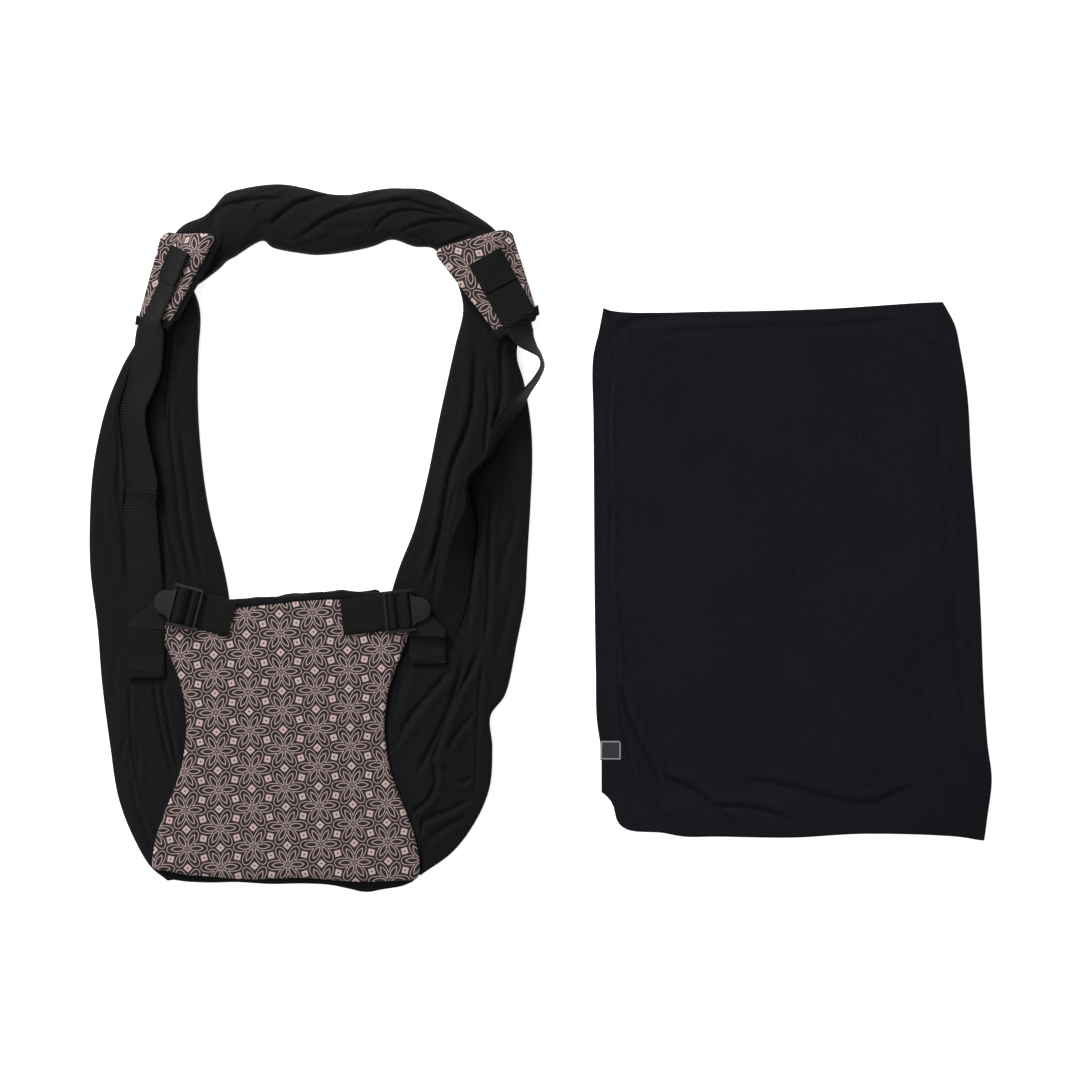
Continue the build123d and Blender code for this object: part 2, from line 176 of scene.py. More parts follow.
def grid_object(name, points, uv, material, wrap=False):
    """A mesh of quads through a grid of points in millimetres; uv is in millimetres too."""
    rows, cols = points.shape[:2]
    i, j = np.meshgrid(np.arange(rows - 1), np.arange(cols if wrap else cols - 1), indexing="ij")
    nxt = (j + 1) % cols
    row, next_row = i * cols, (i + 1) * cols
    quads = np.stack([row + j, row + nxt, next_row + nxt, next_row + j], -1).reshape(-1, 4)
    corners = np.stack([uv[i, j], uv[i, j + 1], uv[i + 1, j + 1], uv[i + 1, j]], 2).reshape(-1, 2)
    mesh = bpy.data.meshes.new(name)
    mesh.from_pydata((points.reshape(-1, 3) * MM).tolist(), [], quads.tolist())
    mesh.uv_layers.new(name="UVMap").data.foreach_set("uv", (corners * MM).ravel())
    return finished(name, mesh, material)


def finished(name, mesh, material):
    mesh.materials.append(material)
    with opened(mesh) as work:
        bmesh.ops.recalc_face_normals(work, faces=work.faces)
        for face in work.faces:
            face.smooth = True
    return linked(name, mesh)


def modified(obj, kind, **settings):
    """Adds a modifier, sets it and makes its result the object's own mesh."""
    modifier = obj.modifiers.new(kind.lower(), kind)
    for key, value in settings.items():
        setattr(modifier, key, value)
    bpy.context.view_layer.update()
    mesh = bpy.data.meshes.new_from_object(obj.evaluated_get(bpy.context.evaluated_depsgraph_get()))
    obj.modifiers.clear()
    obj.data = mesh
    return obj


def thicken(obj, thick, offset=-1.0):
    return modified(obj, "SOLIDIFY", thickness=thick * MM, offset=offset, use_even_offset=False)


def joined(name, objects):
    """One object of several, for pieces that are sewn or moulded as one."""
    work = bmesh.new()
    for obj in objects:
        work.from_mesh(obj.data)
    mesh = bpy.data.meshes.new(name)
    material = objects[0].data.materials[0]
    work.to_mesh(mesh)
    work.free()
    for obj in objects:
        bpy.data.objects.remove(obj)
    mesh.materials.append(material)
    return linked(name, mesh)


class Ceiling:
    """The undersides of what lies on the cloth, which press it down."""

    def __init__(self, objects):
        self.trees = [BVHTree.FromObject(o, bpy.context.evaluated_depsgraph_get()) for o in objects]

    def limit(self, points, air):
        """Lowers each point that would stand closer than air under something, or inside it."""
        for point in points.reshape(-1, 3):
            start = Vector((point[0], point[1], -5)) * MM
            hits = [tree.ray_cast(start, Vector((0, 0, 1)))[0] for tree in self.trees]
            heights = [hit.z / MM for hit in hits if hit is not None]
            if heights:
                point[2] = min(point[2], min(heights) - air)
        return points


# ---------------------------------------------------------------- node maths for materials
class Nodes:
    """Short forms for shader nodes, so that a pattern reads like its formula."""

    def __init__(self, name):
        self.material = bpy.data.materials.new(name)
        self.material.use_nodes = True
        self.tree = self.material.node_tree
        self.shader = self.tree.nodes["Principled BSDF"]

    def new(self, kind, **settings):
        node = self.tree.nodes.new(kind)
        for key, value in settings.items():
            setattr(node, key, value)
        return node

    def put(self, value, socket):
        if isinstance(value, bpy.types.NodeSocket):
            self.tree.links.new(value, socket)
        else:
            socket.default_value = value

    def maths(self, operation, *values, clamp=False):
        node = self.new("ShaderNodeMath", operation=operation, use_clamp=clamp)
        for value, socket in zip(values, node.inputs):
            self.put(value, socket)
        return node.outputs[0]

    plus = partialmethod(maths, "ADD")
    minus = partialmethod(maths, "SUBTRACT")
    times = partialmethod(maths, "MULTIPLY")
    times_plus = partialmethod(maths, "MULTIPLY_ADD")
    over = partialmethod(maths, "DIVIDE")
    power = partialmethod(maths, "POWER")
    root = partialmethod(maths, "SQRT")
    size = partialmethod(maths, "ABSOLUTE")
    sine = partialmethod(maths, "SINE")
    most = partialmethod(maths, "MAXIMUM")
    above = partialmethod(maths, "GREATER_THAN")
    below = partialmethod(maths, "LESS_THAN")

    def length(self, x, y):
        return self.root(self.plus(self.times(x, x), self.times(y, y)))

    def vector(self, operation, *values, out=0):
        node = self.new("ShaderNodeVectorMath", operation=operation)
        for value, socket in zip(values, node.inputs):
            self.put(value, socket)
        return node.outputs[out]

    def xyz(self, vector):
        node = self.new("ShaderNodeSeparateXYZ")
        self.put(vector, node.inputs[0])
        return node.outputs

    def place(self):
        """The place on the whole object, in metres."""
        return self.new("ShaderNodeTexCoord").outputs["Object"]

    def cloth(self):
        """The place on the flat cloth, in millimetres."""
        scale = self.new("ShaderNodeVectorMath", operation="SCALE")
        self.put(self.new("ShaderNodeUVMap", uv_map="UVMap").outputs[0], scale.inputs[0])
        scale.inputs["Scale"].default_value = 1 / MM
        return scale.outputs[0]

    def wave(self, value, pitch):
        """A sine between 0 and 1 that repeats every pitch."""
        return self.times_plus(self.sine(self.times(value, 2 * math.pi / pitch)), 0.5, 0.5)

    def mix(self, factor, a, b):
        node = self.new("ShaderNodeMix", data_type="RGBA")
        self.put(factor, node.inputs[0])
        self.put(a, node.inputs[6])
        self.put(b, node.inputs[7])
        return node.outputs[2]

    def noise(self, vector, scale, detail=3.0):
        node = self.new("ShaderNodeTexNoise")
        self.put(vector, node.inputs["Vector"])
        node.inputs["Scale"].default_value = scale
        node.inputs["Detail"].default_value = detail
        return node.outputs["Fac"]

    def bump(self, height, distance, strength, under=None):
        node = self.new("ShaderNodeBump")
        node.inputs["Strength"].default_value = strength
        node.inputs["Distance"].default_value = distance * MM
        self.put(height, node.inputs["Height"])
        if under is not None:
            self.put(under, node.inputs["Normal"])
        return node.outputs["Normal"]

    def finish(self, colour, roughness, normal, sheen=0.0, sheen_roughness=0.5, specular=0.5):
        self.put(colour, self.shader.inputs["Base Color"])
        self.put(roughness, self.shader.inputs["Roughness"])
        self.put(normal, self.shader.inputs["Normal"])
        self.shader.inputs["Sheen Weight"].default_value = sheen
        self.shader.inputs["Sheen Roughness"].default_value = sheen_roughness
        self.shader.inputs["Specular IOR Level"].default_value = specular
        return self.material


def jersey(name, pale):
    """Fine single jersey: columns of stitches, each a slanting pair of legs, with a little bloom."""
    n = Nodes(name)
    place = n.cloth()
    x, y, _ = n.xyz(place)
    column_pitch, course_pitch = 0.95, 0.75
    legs = n.size(n.sine(n.times(x, math.pi / column_pitch)))
    slant = n.times_plus(legs, 0.45, y)
    knit = n.times(legs, n.wave(slant, course_pitch))
    object_place = n.place()
    blotches = n.noise(object_place, 9.0, 4.0)
    bloom = n.noise(object_place, 900.0, 2.0)
    grain = n.noise(object_place, 430.0, 2.0)
    shade = n.times_plus(blotches, 0.5, n.times_plus(grain, 1.1, -0.4))
    shade = n.times_plus(n.times(knit, bloom), 0.6, shade)
    colour = n.mix(shade, (0.0046, 0.0046, 0.0056, 1), pale)
    normal = n.bump(bloom, 0.08, 0.5)
    normal = n.bump(knit, 0.22, 0.8, normal)
    normal = n.bump(n.noise(object_place, 60.0, 3.0), 0.7, 0.35, normal)
    return n.finish(colour, 0.92, normal, sheen=0.03, sheen_roughness=0.45, specular=0.1)


def webbing():
    """Ribbed polyester webbing: the ribs are in the mesh, and each rib is twisted yarns side by side. Each
    rib's crest is painted lighter than its trough, a painted highlight.
    """
    n = Nodes("webbing")
    along, across, _ = n.xyz(n.cloth())
    rib = n.wave(along, WEBBING["rib"])
    yarns = n.wave(across, 0.8)
    fuzz = n.noise(n.place(), 700.0, 2.0)
    # Painted highlight: the rib wave makes each crest lighter; the fuzz adds random tone.
    shade = n.times_plus(rib, 0.55, n.times(fuzz, 0.5))
    colour = n.mix(shade, (0.0012, 0.0013, 0.0012, 1), (0.0180, 0.0184, 0.0183, 1))
    normal = n.bump(n.times(yarns, rib), 0.25, 0.7, n.bump(fuzz, 0.1, 0.5))
    return n.finish(colour, 0.7, normal, specular=0.06)


def printed_cotton():
    """Charcoal cotton with pale line flowers on a triangular lattice, a filled square between neighbours."""
    n = Nodes("printed_cotton")
    place = n.cloth()
    spacing = 40.5
    petal, petal_from, petal_line = (12.4, 8.9, 4.75), 7.2, 0.62
    vein, vein_line = (2.9, 16.8, 2.45), 0.74
    spoke_line, spoke_reach = 0.28, 7.0
    square_half, dot_radius = 4.6, 0.95
    column = spacing * math.sqrt(3) / 2
    half = (column, spacing / 2, 1.0)
    minus_half = (-column, -spacing / 2, -1.0)
    near = n.vector("WRAP", place, half, minus_half)
    shifted = n.vector("SUBTRACT", place, (column, spacing / 2, 0.0))
    other = n.vector("WRAP", shifted, half, minus_half)
    nearer = n.below(n.vector("LENGTH", other, out=1), n.vector("LENGTH", near, out=1))
    centred = n.new("ShaderNodeMix", data_type="VECTOR")
    n.put(nearer, centred.inputs[0])
    n.put(near, centred.inputs[4])
    n.put(other, centred.inputs[5])
    x, y, _ = n.xyz(centred.outputs[1])
    radius = n.length(x, y)
    angle = n.maths("ARCTAN2", y, x)
    sixth = math.pi / 3

    def sector(turn):
        """Place in the sector of a sixth of a turn, along and across its middle line."""
        folded = n.maths("WRAP", n.plus(angle, turn), sixth / 2, -sixth / 2)
        along = n.times(radius, n.maths("COSINE", folded))
        across = n.size(n.times(radius, n.sine(folded)))
        return along, across

    def leaf(along, across, start, end, half_width):
        """Signed distance to a pointed oval."""
        half_length = (end - start) / 2
        arc = (half_length**2 + half_width**2) / (2 * half_width)
        u = n.minus(along, (start + end) / 2)
        v = n.plus(across, arc - half_width)
        return n.minus(n.length(u, v), arc)

    def blunt_leaf(along, across, middle, half_length, half_width):
        """Distance to a rounded petal that is blunter than an ellipse."""
        u = n.over(n.size(n.minus(along, middle)), half_length)
        v = n.over(across, half_width)
        level = n.plus(n.power(u, 2.5), n.power(v, 2.1))
        steep_u = n.times(n.power(u, 1.5), 2.5 / half_length)
        steep_v = n.times(n.power(v, 1.1), 2.1 / half_width)
        steep = n.plus(n.times(steep_u, steep_u), n.times(steep_v, steep_v))
        return n.over(n.minus(level, 1.0), n.root(n.plus(steep, 1e-5)))

    def line(distance, width):
        """1 on a line of that width, with a soft edge."""
        inside = n.minus(width / 2, n.size(distance))
        return n.times_plus(inside, 3.0, 0.5, clamp=True)

    def filled(distance):
        return n.times_plus(distance, -3.0, 0.5, clamp=True)

    along, across = sector(0.0)
    outer = n.times(line(blunt_leaf(along, across, *petal), petal_line), n.above(along, petal_from))
    inner = line(leaf(along, across, *vein), vein_line)
    gap = n.minus(n.times(along, math.sin(sixth / 2)), n.times(across, math.cos(sixth / 2)))
    spokes = n.times(line(gap, spoke_line), n.below(radius, spoke_reach))
    outer = n.most(outer, spokes)
    edge_along, edge_across = sector(sixth / 2)
    from_middle = n.size(n.minus(edge_along, spacing / 2))
    square = filled(n.minus(n.plus(from_middle, edge_across), square_half))
    dot = filled(n.minus(n.length(from_middle, edge_across), dot_radius))
    square = n.minus(square, dot, clamp=True)
    ink = n.most(n.most(outer, inner), square)

    px, py, _ = n.xyz(place)
    weave = n.times(n.wave(px, 0.9), n.wave(py, 0.9))
    fuzz = n.noise(n.place(), 500.0, 3.0)
    worn = n.times_plus(n.plus(weave, fuzz), 0.22, 0.74)
    ink = n.times(ink, worn, clamp=True)
    ground = n.mix(fuzz, (0.018, 0.0135, 0.0135, 1), (0.036, 0.029, 0.029, 1))
    colour = n.mix(ink, ground, (0.62, 0.455, 0.432, 1))
    normal = n.bump(weave, 0.16, 0.6, n.bump(fuzz, 0.1, 0.4))
    return n.finish(colour, 0.88, normal, sheen=0.04, specular=0.25)


def moulded_plastic():
    """Dark acetal with a fine spark-eroded texture, a little lighter along its sharply convex edges."""
    n = Nodes("lock_plastic")
    place = n.place()
    grain = n.noise(place, 1400.0, 2.0)
    # Lighter where the mesh is sharply convex, along the moulding's edges.
    worn = n.new("ShaderNodeNewGeometry").outputs["Pointiness"]
    edge = n.times(n.minus(worn, 0.52), 2.5, clamp=True)
    shade = n.times_plus(n.noise(place, 120.0, 3.0), 0.5, edge, clamp=True)
    colour = n.mix(shade, (0.0105, 0.0105, 0.0130, 1), (0.021, 0.021, 0.0260, 1))
    roughness = n.times_plus(grain, 0.2, 0.42)
    return n.finish(colour, roughness, n.bump(grain, 0.06, 0.5), specular=0.14)


def thread():
    n = Nodes("thread")
    along, across, _ = n.xyz(n.cloth())
    twist = n.wave(n.plus(along, across), 0.5)
    colour = n.mix(twist, (0.002, 0.002, 0.0022, 1), (0.010, 0.010, 0.011, 1))
    return n.finish(colour, 0.6, n.bump(twist, 0.1, 0.6), specular=0.2)


def woven_label():
    """A plain dark woven label with a pale border and no words."""
    n = Nodes("label")
    x, y, _ = n.xyz(n.cloth())
    yarn = n.times(n.wave(x, 0.5), n.wave(y, 0.35))
    edge = n.most(n.over(n.size(x), 12.0), n.over(n.size(y), 11.0))
    border = n.times(n.above(edge, 0.78), n.below(edge, 0.85))
    colour = n.mix(border, (0.028, 0.029, 0.034, 1), (0.42, 0.43, 0.5, 1))
    return n.finish(colour, 0.7, n.bump(yarn, 0.12, 0.6), specular=0.3)


JERSEY = jersey("jersey", (0.0144, 0.0142, 0.0166, 1))
SASH_JERSEY = jersey("sash_jersey", (0.0126, 0.0128, 0.0190, 1))
WEB, PRINT = webbing(), printed_cotton()
PLASTIC, THREAD, LABEL = moulded_plastic(), thread(), woven_label()


# ---------------------------------------------------------------- gathered cloth and padded pieces
def bundle(name, stations, folds=(), *, rows, cols, seed, roundness=0.42, edge=0.42, wrinkle=0.8,
           spiral=None, ceiling=None, air=0.4):
    """A gathered run of jersey lying flat, as a closed tube of cloth.

    Each station is (x, y of one edge, x, y of the other edge, height). spiral is (ridges, lead, depth).
    """
    rails = smooth_curve(stations, rows, dims=4)
    steps = np.linalg.norm(np.diff(rails[:, :2] + rails[:, 2:4], axis=0) / 2, axis=1)
    length = np.concatenate([[0], np.cumsum(steps)])
    share = np.linspace(0, 1, cols - cols // 5, endpoint=False)
    over_top = np.arccos(0.5 * np.cos(math.pi * share) + 0.5 * (1 - 2 * share))
    turn = np.concatenate([over_top, math.pi + np.linspace(0, math.pi, cols // 5, endpoint=False)])
    side, up = -np.cos(turn)[None], np.sin(turn)[None]
    height = rails[:, 4:5]
    along = length[:, None] + 0 * turn[None]
    dome = np.sign(up) * np.abs(up) ** roundness
    belly = edge * (1 + np.sign(up) * np.abs(up) ** 0.35)
    z = height * np.where(up >= 0, edge + (1 - edge) * dome, belly)
    across = (side + 1) / 2 + 0 * height
    x = rails[:, 0:1] * (1 - across) + rails[:, 2:3] * across
    y = rails[:, 1:2] * (1 - across) + rails[:, 3:4] * across
    over = np.clip(dome, 0, 1) + 0 * height
    width = np.hypot(rails[:, 2] - rails[:, 0], rails[:, 3] - rails[:, 1])[:, None]
    lateral = across * width
    if spiral:
        ridges, lead, depth = spiral
        phase = ridges * turn[None] / (2 * math.pi) + along / lead
        phase = phase + 0.45 * noise(along / 70, across * 3, seed + 5)
        saw = phase - np.floor(phase)
        ridge = smoothstep(saw / 0.86) - smoothstep((saw - 0.86) / 0.14)
        swell = depth * (ridge - 0.5) * (0.75 + 0.5 * noise(along / 45, np.floor(phase) * 1.7, seed + 6))
        above = np.where(up >= 0, 1, 0.15)
        z = z + swell * np.abs(up) * above
        push = swell * side * 0.55
        ux = (rails[:, 2:3] - rails[:, 0:1]) / width
        uy = (rails[:, 3:4] - rails[:, 1:2]) / width
        x, y = x + push * ux, y + push * uy
    soft = noise(lateral / 13 + 0.3 * noise(along / 90, lateral / 40, seed + 1), along / 120, seed)
    fine = noise(lateral / 5.5 + 0.5 * noise(along / 60, lateral / 20, seed + 2), along / 75, seed + 3)
    z = z + over * (folds_height(x, y, folds) + wrinkle * (0.9 * soft + 0.45 * fine))
    z = np.maximum(z, FLOOR_AIR)
    points = np.stack([x, y, z], -1)
    if ceiling:
        upper = points[:, : len(share)].copy()
        points[:, : len(share)] = ceiling.limit(upper.reshape(-1, 3), air).reshape(upper.shape)
        points[..., 2] = np.maximum(points[..., 2], FLOOR_AIR)
    ring = np.concatenate([points, points[:, :1]], 1)
    steps = np.linalg.norm(np.diff(ring, axis=1), axis=2)
    girth = np.concatenate([np.zeros((rows, 1)), np.cumsum(steps, axis=1)], 1)
    uv = np.stack([girth, np.concatenate([along, along[:, :1]], 1)], -1)
    obj = grid_object(name, points, uv, JERSEY, wrap=True)
    return thicken(obj, JERSEY_THICK)


def place_piece(obj, body, slot, *nodes):
    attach(obj, body)
    if nodes:
        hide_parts(*nodes)
    return obj


# ---------------------------------------------------------------- webbing
def ribbon(name, path):
    """Webbing along a path of (x, y, z of its middle, direction across it x, y, z)."""
    thick, rib_pitch = WEBBING["thick"], WEBBING["rib"]
    rough = smooth_curve(path, 400, dims=3)
    length = np.linalg.norm(np.diff(rough[:, :3], axis=0), axis=1).sum()
    samples = max(8, int(length / (rib_pitch / 6)))
    run = smooth_curve(path, samples, dims=3)
    centre = run[:, :3]
    tangent = np.gradient(centre, axis=0)
    tangent /= np.linalg.norm(tangent, axis=1)[:, None]
    across = run[:, 3:6] - tangent * (run[:, 3:6] * tangent).sum(1)[:, None]
    across /= np.linalg.norm(across, axis=1)[:, None]
    normal = np.cross(tangent, across)
    s = np.linspace(0, length, samples)
    rib = np.sin(2 * math.pi * s / rib_pitch)[:, None]
    half = WEBBING["width"] / 2
    flat = np.linspace(-1, 1, 10)
    selvedge = 1 - np.abs(flat) ** 8 * 0.35
    profile = [(f * half, thick / 2 * e) for f, e in zip(flat, selvedge)]
    profile += [(half * 1.012, 0)]
    profile += [(f * half, -thick / 2 * e) for f, e in zip(flat[::-1], selvedge[::-1])]
    profile += [(-half * 1.012, 0)]
    profile = np.array(profile)
    sway = np.sign(profile[:, 1])[None] * WEBBING["rib_height"] * rib
    points = (centre[:, None] + across[:, None] * profile[None, :, 0:1]
              + normal[:, None] * (profile[None, :, 1] + sway)[..., None])
    girth = np.concatenate([profile[:, 0], profile[:1, 0]])
    uv = np.stack(np.broadcast_arrays(s[:, None], girth[None]), -1)
    obj = grid_object(name, points, uv, WEB, wrap=True)
    return capped(obj)


def capped(obj):
    """Closes the open ends of a tube."""
    with opened(obj.data) as work:
        bmesh.ops.holes_fill(work, edges=[e for e in work.edges if e.is_boundary], sides=0)
        bmesh.ops.recalc_face_normals(work, faces=work.faces)
    return obj


def with_headings(points):
    """Strap points (x, y, z, share) turned into ribbon points that face along the run.

    The share of its width that shows from above gives its roll, and the share's sign the edge that is up.
    """
    made = []
    for i, (x, y, z, visible) in enumerate(points):
        x0, y0 = points[max(i - 1, 0)][:2]
        x1, y1 = points[min(i + 1, len(points) - 1)][:2]
        side = math.atan2(y1 - y0, x1 - x0) - math.pi / 2
        roll = math.copysign(math.acos(min(1.0, abs(visible))), visible)
        flat = math.cos(roll)
        made.append((x, y, z, math.cos(side) * flat, math.sin(side) * flat, math.sin(roll)))
    return made


LEFT_STRAP = [
    (-408.5, 216, 26.5, -0.80), (-410, 200, 25.5, -0.84), (-413.5, 178, 24, -0.90),
    (-420, 158, 23.2, -0.84), (-426.5, 139, 22.8, -0.78), (-427, 120, 22.6, -0.76),
    (-423, 91, 22.4, -0.82), (-420, 70, 22.4, -0.89), (-418, 58, 22.8, -0.90), (-418, 50, 22.4, -0.90),
    (-419.5, 41, 18.8, -0.93), (-420.2, 33, 17.6, -0.95), (-419.8, 20, 17.2, -0.96),
    (-418.5, 0, 16.8, -0.97), (-415.5, -36, 16.3, -0.99), (-413.5, -68, 16, -1), (-413, -100, 15.8, -1),
    (-413, -128, 15.8, -1), (-413, -140, 15.8, -1),
]
RIGHT_STRAP = [
    (-22, 222, 38.5, 0.78), (-16, 210, 37.5, 0.60), (-8, 200, 36.0, 0.32), (0, 191, 35.0, 0.12),
    (2.5, 181, 34.5, 0.10), (-2, 170, 34.5, 0.12), (-15, 152, 34.5, 0.20), (-34, 126, 33.0, 0.44),
    (-46, 105, 33.0, 0.30), (-56, 84, 33.5, 0.12), (-66, 73, 34.0, 0.1), (-74, 65, 34.0, 0.1),
    (-77, 54, 33.0, 0.10), (-75.5, 40, 30.0, 0.18), (-75.5, 24, 25.5, 0.42), (-78, 6, 21.0, 0.64),
    (-84, -20, 18.6, 0.80), (-87.5, -42, 17.6, 0.87), (-91.5, -62, 16.9, 0.91), (-97, -79, 16.3, 0.95),
    (-104.5, -94, 15.9, 0.99), (-111, -105, 15.9, 1.0), (-115.5, -114, 15.9, 1.0),
    (-117, -123, 15.9, 1.0),
]
LOOP = {
    "left": {
        "turn": (-413, -146), "run": [(-413, -138, 20.0), (-413, -124, 18.4), (-412.5, -105, 20.9)],
        "fold": (-412, -75, 21.9), "fold_line": 36.5, "length": 20, "after": 23, "tilt": 0.08,
    },
    "right": {
        "turn": (-117, -131), "run": [(-117.5, -124, 20.0), (-118, -115, 19.4), (-118, -104, 23.0)],
        "fold": (-116, -80, 26.0), "fold_line": 135.5, "length": 22, "after": 18, "tilt": 0.0,
    },
}


def lock_frame(side):
    """Middle of the pivot bar in mm, direction to the tab and direction along the bar."""
    joint = next(j for j in frame["joints"] if j["name"] == f"{side}_lock_tilt")
    pivot = Vector(joint["pos_m"]) / MM
    bar = -Vector(joint["axis"])
    outward = bar.cross(Vector((0, 0, 1)))
    return pivot, outward, bar


def in_lock(side, x, y, z):
    """A place given along the lock, along its bar and above its pivot, in the shared frame in mm."""
    pivot, outward, bar = lock_frame(side)
    return pivot + outward * x + bar * y + Vector((0, 0, z))


def adjuster_strap(side):
    """The strap sewn to the patch, down the band, round its slack loop and back up towards the lock."""
    sewn = STRAP_ON_PATCH[side]
    points = along_patch(side, sewn["top"], sewn["end"], 9, 1.0)
    points += with_headings(LEFT_STRAP if side == "left" else RIGHT_STRAP)
    loop = LOOP[side]
    (turn_x, turn_y), run = loop["turn"], loop["run"]
    x, y, low = points[-1][:3]
    rise = (run[0][2] - low) / 2
    flat = (-1.0, 0.0, 0.0)
    points.append((x * 0.3 + turn_x * 0.7, turn_y + 0.5 * rise, low + 0.5 * rise, *flat))
    points.append((turn_x, turn_y, low + rise, *flat))
    points.append((turn_x * 0.7 + run[0][0] * 0.3, turn_y + 0.5 * rise, low + 1.5 * rise, *flat))
    path = [(turn_x, turn_y, 0)] + run + [strap_turn_start(side)]
    for i, ((ax, ay, _), (bx, by, bz)) in enumerate(zip(path, path[1:])):
        length = math.hypot(bx - ax, by - ay)
        tilt = loop["tilt"] if i == len(run) - 1 else 0
        points.append((bx, by, bz, -(by - ay) / length, (bx - ax) / length, tilt))
    obj = ribbon(f"{side}_adjuster_webbing", points)
    return place_piece(obj, "carrier", "webbing", f"{side}_adjuster_strap", f"{side}_slack_loop")


def strap_turn_start(side):
    """Where the slack's upper run meets the piece that turns under the lock."""
    loop = LOOP[side]
    x, y, z = loop["fold"]
    ax, ay, _ = loop["run"][-1]
    far = math.hypot(x - ax, y - ay)
    return (x + (ax - x) * loop["length"] / far, y + (ay - y) * loop["length"] / far, z)


def strap_turn(side):
    """The webbing folded flat along a slanting line, to run on under the lock's tab."""
    loop = LOOP[side]
    radius, after, flattened_by = 1.25, loop["after"], 1.1
    middle = np.array(loop["fold"][:2])
    start = np.array(strap_turn_start(side)[:2])
    heading = (middle - start) / np.linalg.norm(middle - start)
    slant = math.radians(loop["fold_line"])
    line = np.array([math.cos(slant), math.sin(slant)])
    beyond = np.array([-line[1], line[0]])
    if beyond @ heading < 0:
        beyond = -beyond
    side_way = np.array([-heading[1], heading[0]])
    half = WEBBING["width"] / 2
    s, w = np.meshgrid(np.linspace(-loop["length"], after, 180), np.linspace(-half, half, 24), indexing="ij")
    flat = s[..., None] * heading + w[..., None] * side_way
    t, d = flat @ line, flat @ beyond
    bend = np.clip(d, 0, math.pi * radius)
    q = np.where(d < 0, d, radius * np.sin(bend / radius) - np.clip(d - math.pi * radius, 0, None))
    z = loop["fold"][2] - radius * (1 - np.cos(bend / radius))
    z = z - flattened_by * np.where(d < 0, smoothstep((d + 6) / 8), 1)
    under_tab = PANEL_TOP + 1.05 - (loop["fold"][2] - 2 * radius - flattened_by)
    z = z + under_tab * smoothstep((d - math.pi * radius - 8) / (after - 8)) * (d > 0)
    z = z + WEBBING["rib_height"] * np.sin(2 * math.pi * s / WEBBING["rib"])
    plan = middle + t[..., None] * line + q[..., None] * beyond
    points = np.concatenate([plan, z[..., None]], -1)
    obj = grid_object(f"{side}_turned_webbing", points, np.stack([s, w], -1), WEB)
    obj = thicken(obj, WEBBING["thick"], offset=0)
    return place_piece(obj, "carrier", "webbing", f"{side}_strap_turn")


def lock_ribbon(name, side, places):
    """Webbing square to a lock, through places given along the lock and above its pivot."""
    _, _, bar = lock_frame(side)
    return ribbon(name, [(*in_lock(side, x, 0, z), *bar) for x, z in places])


def lock_webbing(side):
    """The strap inside the lock: under the tab, up, over the grip bar and down."""
    obj = lock_ribbon(f"{side}_strap_in_lock", side, [
        (27, -5.4), (20, -5.4), (10, -5.3), (6.0, -5.0), (5.2, -2.8), (8.4, 0.6), (10.4, 2.3), (13.5, 3.0),
        (16.6, 2.3), (17.9, 0.2), (18.6, -1.9),
    ])
    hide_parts(f"{side}_strap_bight", f"{side}_strap_under_lock")
    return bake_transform(obj)


def strap_tail(side):
    """The free end under the tab, with its hem turned over and sewn."""
    pivot, _, _ = lock_frame(side)
    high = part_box(f"{side}_strap_tail")[1].z / MM - pivot.z
    z, end = high - 1.5 * WEBBING["thick"] - 0.1, 24.8
    top = lock_ribbon("tail_top", side, [(x, z) for x in (9, 14, 20, end)])
    hem = lock_ribbon("tail_hem", side, [(end - back, z + 1.65) for back in (5.8, 4, 2, 0)])
    obj = joined(f"{side}_strap_tail_webbing", [top, hem])
    place_piece(obj, f"{side}_tail", "webbing", f"{side}_strap_tail")
    row = stitch_line([in_lock(side, end - 3, y, z + 2.6) for y in (-17, 17)])
    row.name = f"{side}_tail_stitching"
    return place_piece(row, f"{side}_tail", "thread")


def build_anchor(side):
    """Webbing sewn double on the panel, up round the pivot bar and back under itself."""
    pivot, _, _ = lock_frame(side)
    length = 43.5 if side == "left" else 53.5
    low_z = PANEL_TOP - pivot.z + WEBBING["thick"] / 2
    top_z = low_z + WEBBING["thick"] + 0.1
    loop = [
        (-length, top_z), (-length * 0.6, top_z + 0.1), (-20, top_z + 0.1), (-14, top_z),
        (-9.8, top_z + 0.15), (-6.6, -1.8), (-3.7, 0.75), (-2.0, 2.35), (0.0, 3.08), (2.2, 2.2), (3.1, 0.1),
        (2.3, -2.05), (0.7, -3.0), (-3.4, -4.2), (-9.5, -5.5), (-15, low_z), (1 - length, low_z),
    ]
    obj = lock_ribbon(f"{side}_anchor_webbing_sewn", side, loop)
    place_piece(obj, "carrier", "webbing", f"{side}_anchor_webbing")
    z = top_z + 1.0
    near, far, half = -16.0, 4 - length, 15.5
    corners = [(near, -half), (near, half), (far, half), (far, -half), (near, -half)]
    runs = [stitch_line([in_lock(side, x, y, z) for x, y in corners])]
    for x in (1.5 - length, (near + far) / 2, near + 3):
        runs.append(stitch_line([in_lock(side, x, y, z) for y in (-half, half)]))
    stitches = joined(f"{side}_anchor_thread", runs)
    return place_piece(stitches, "carrier", "thread", f"{side}_anchor_stitching")


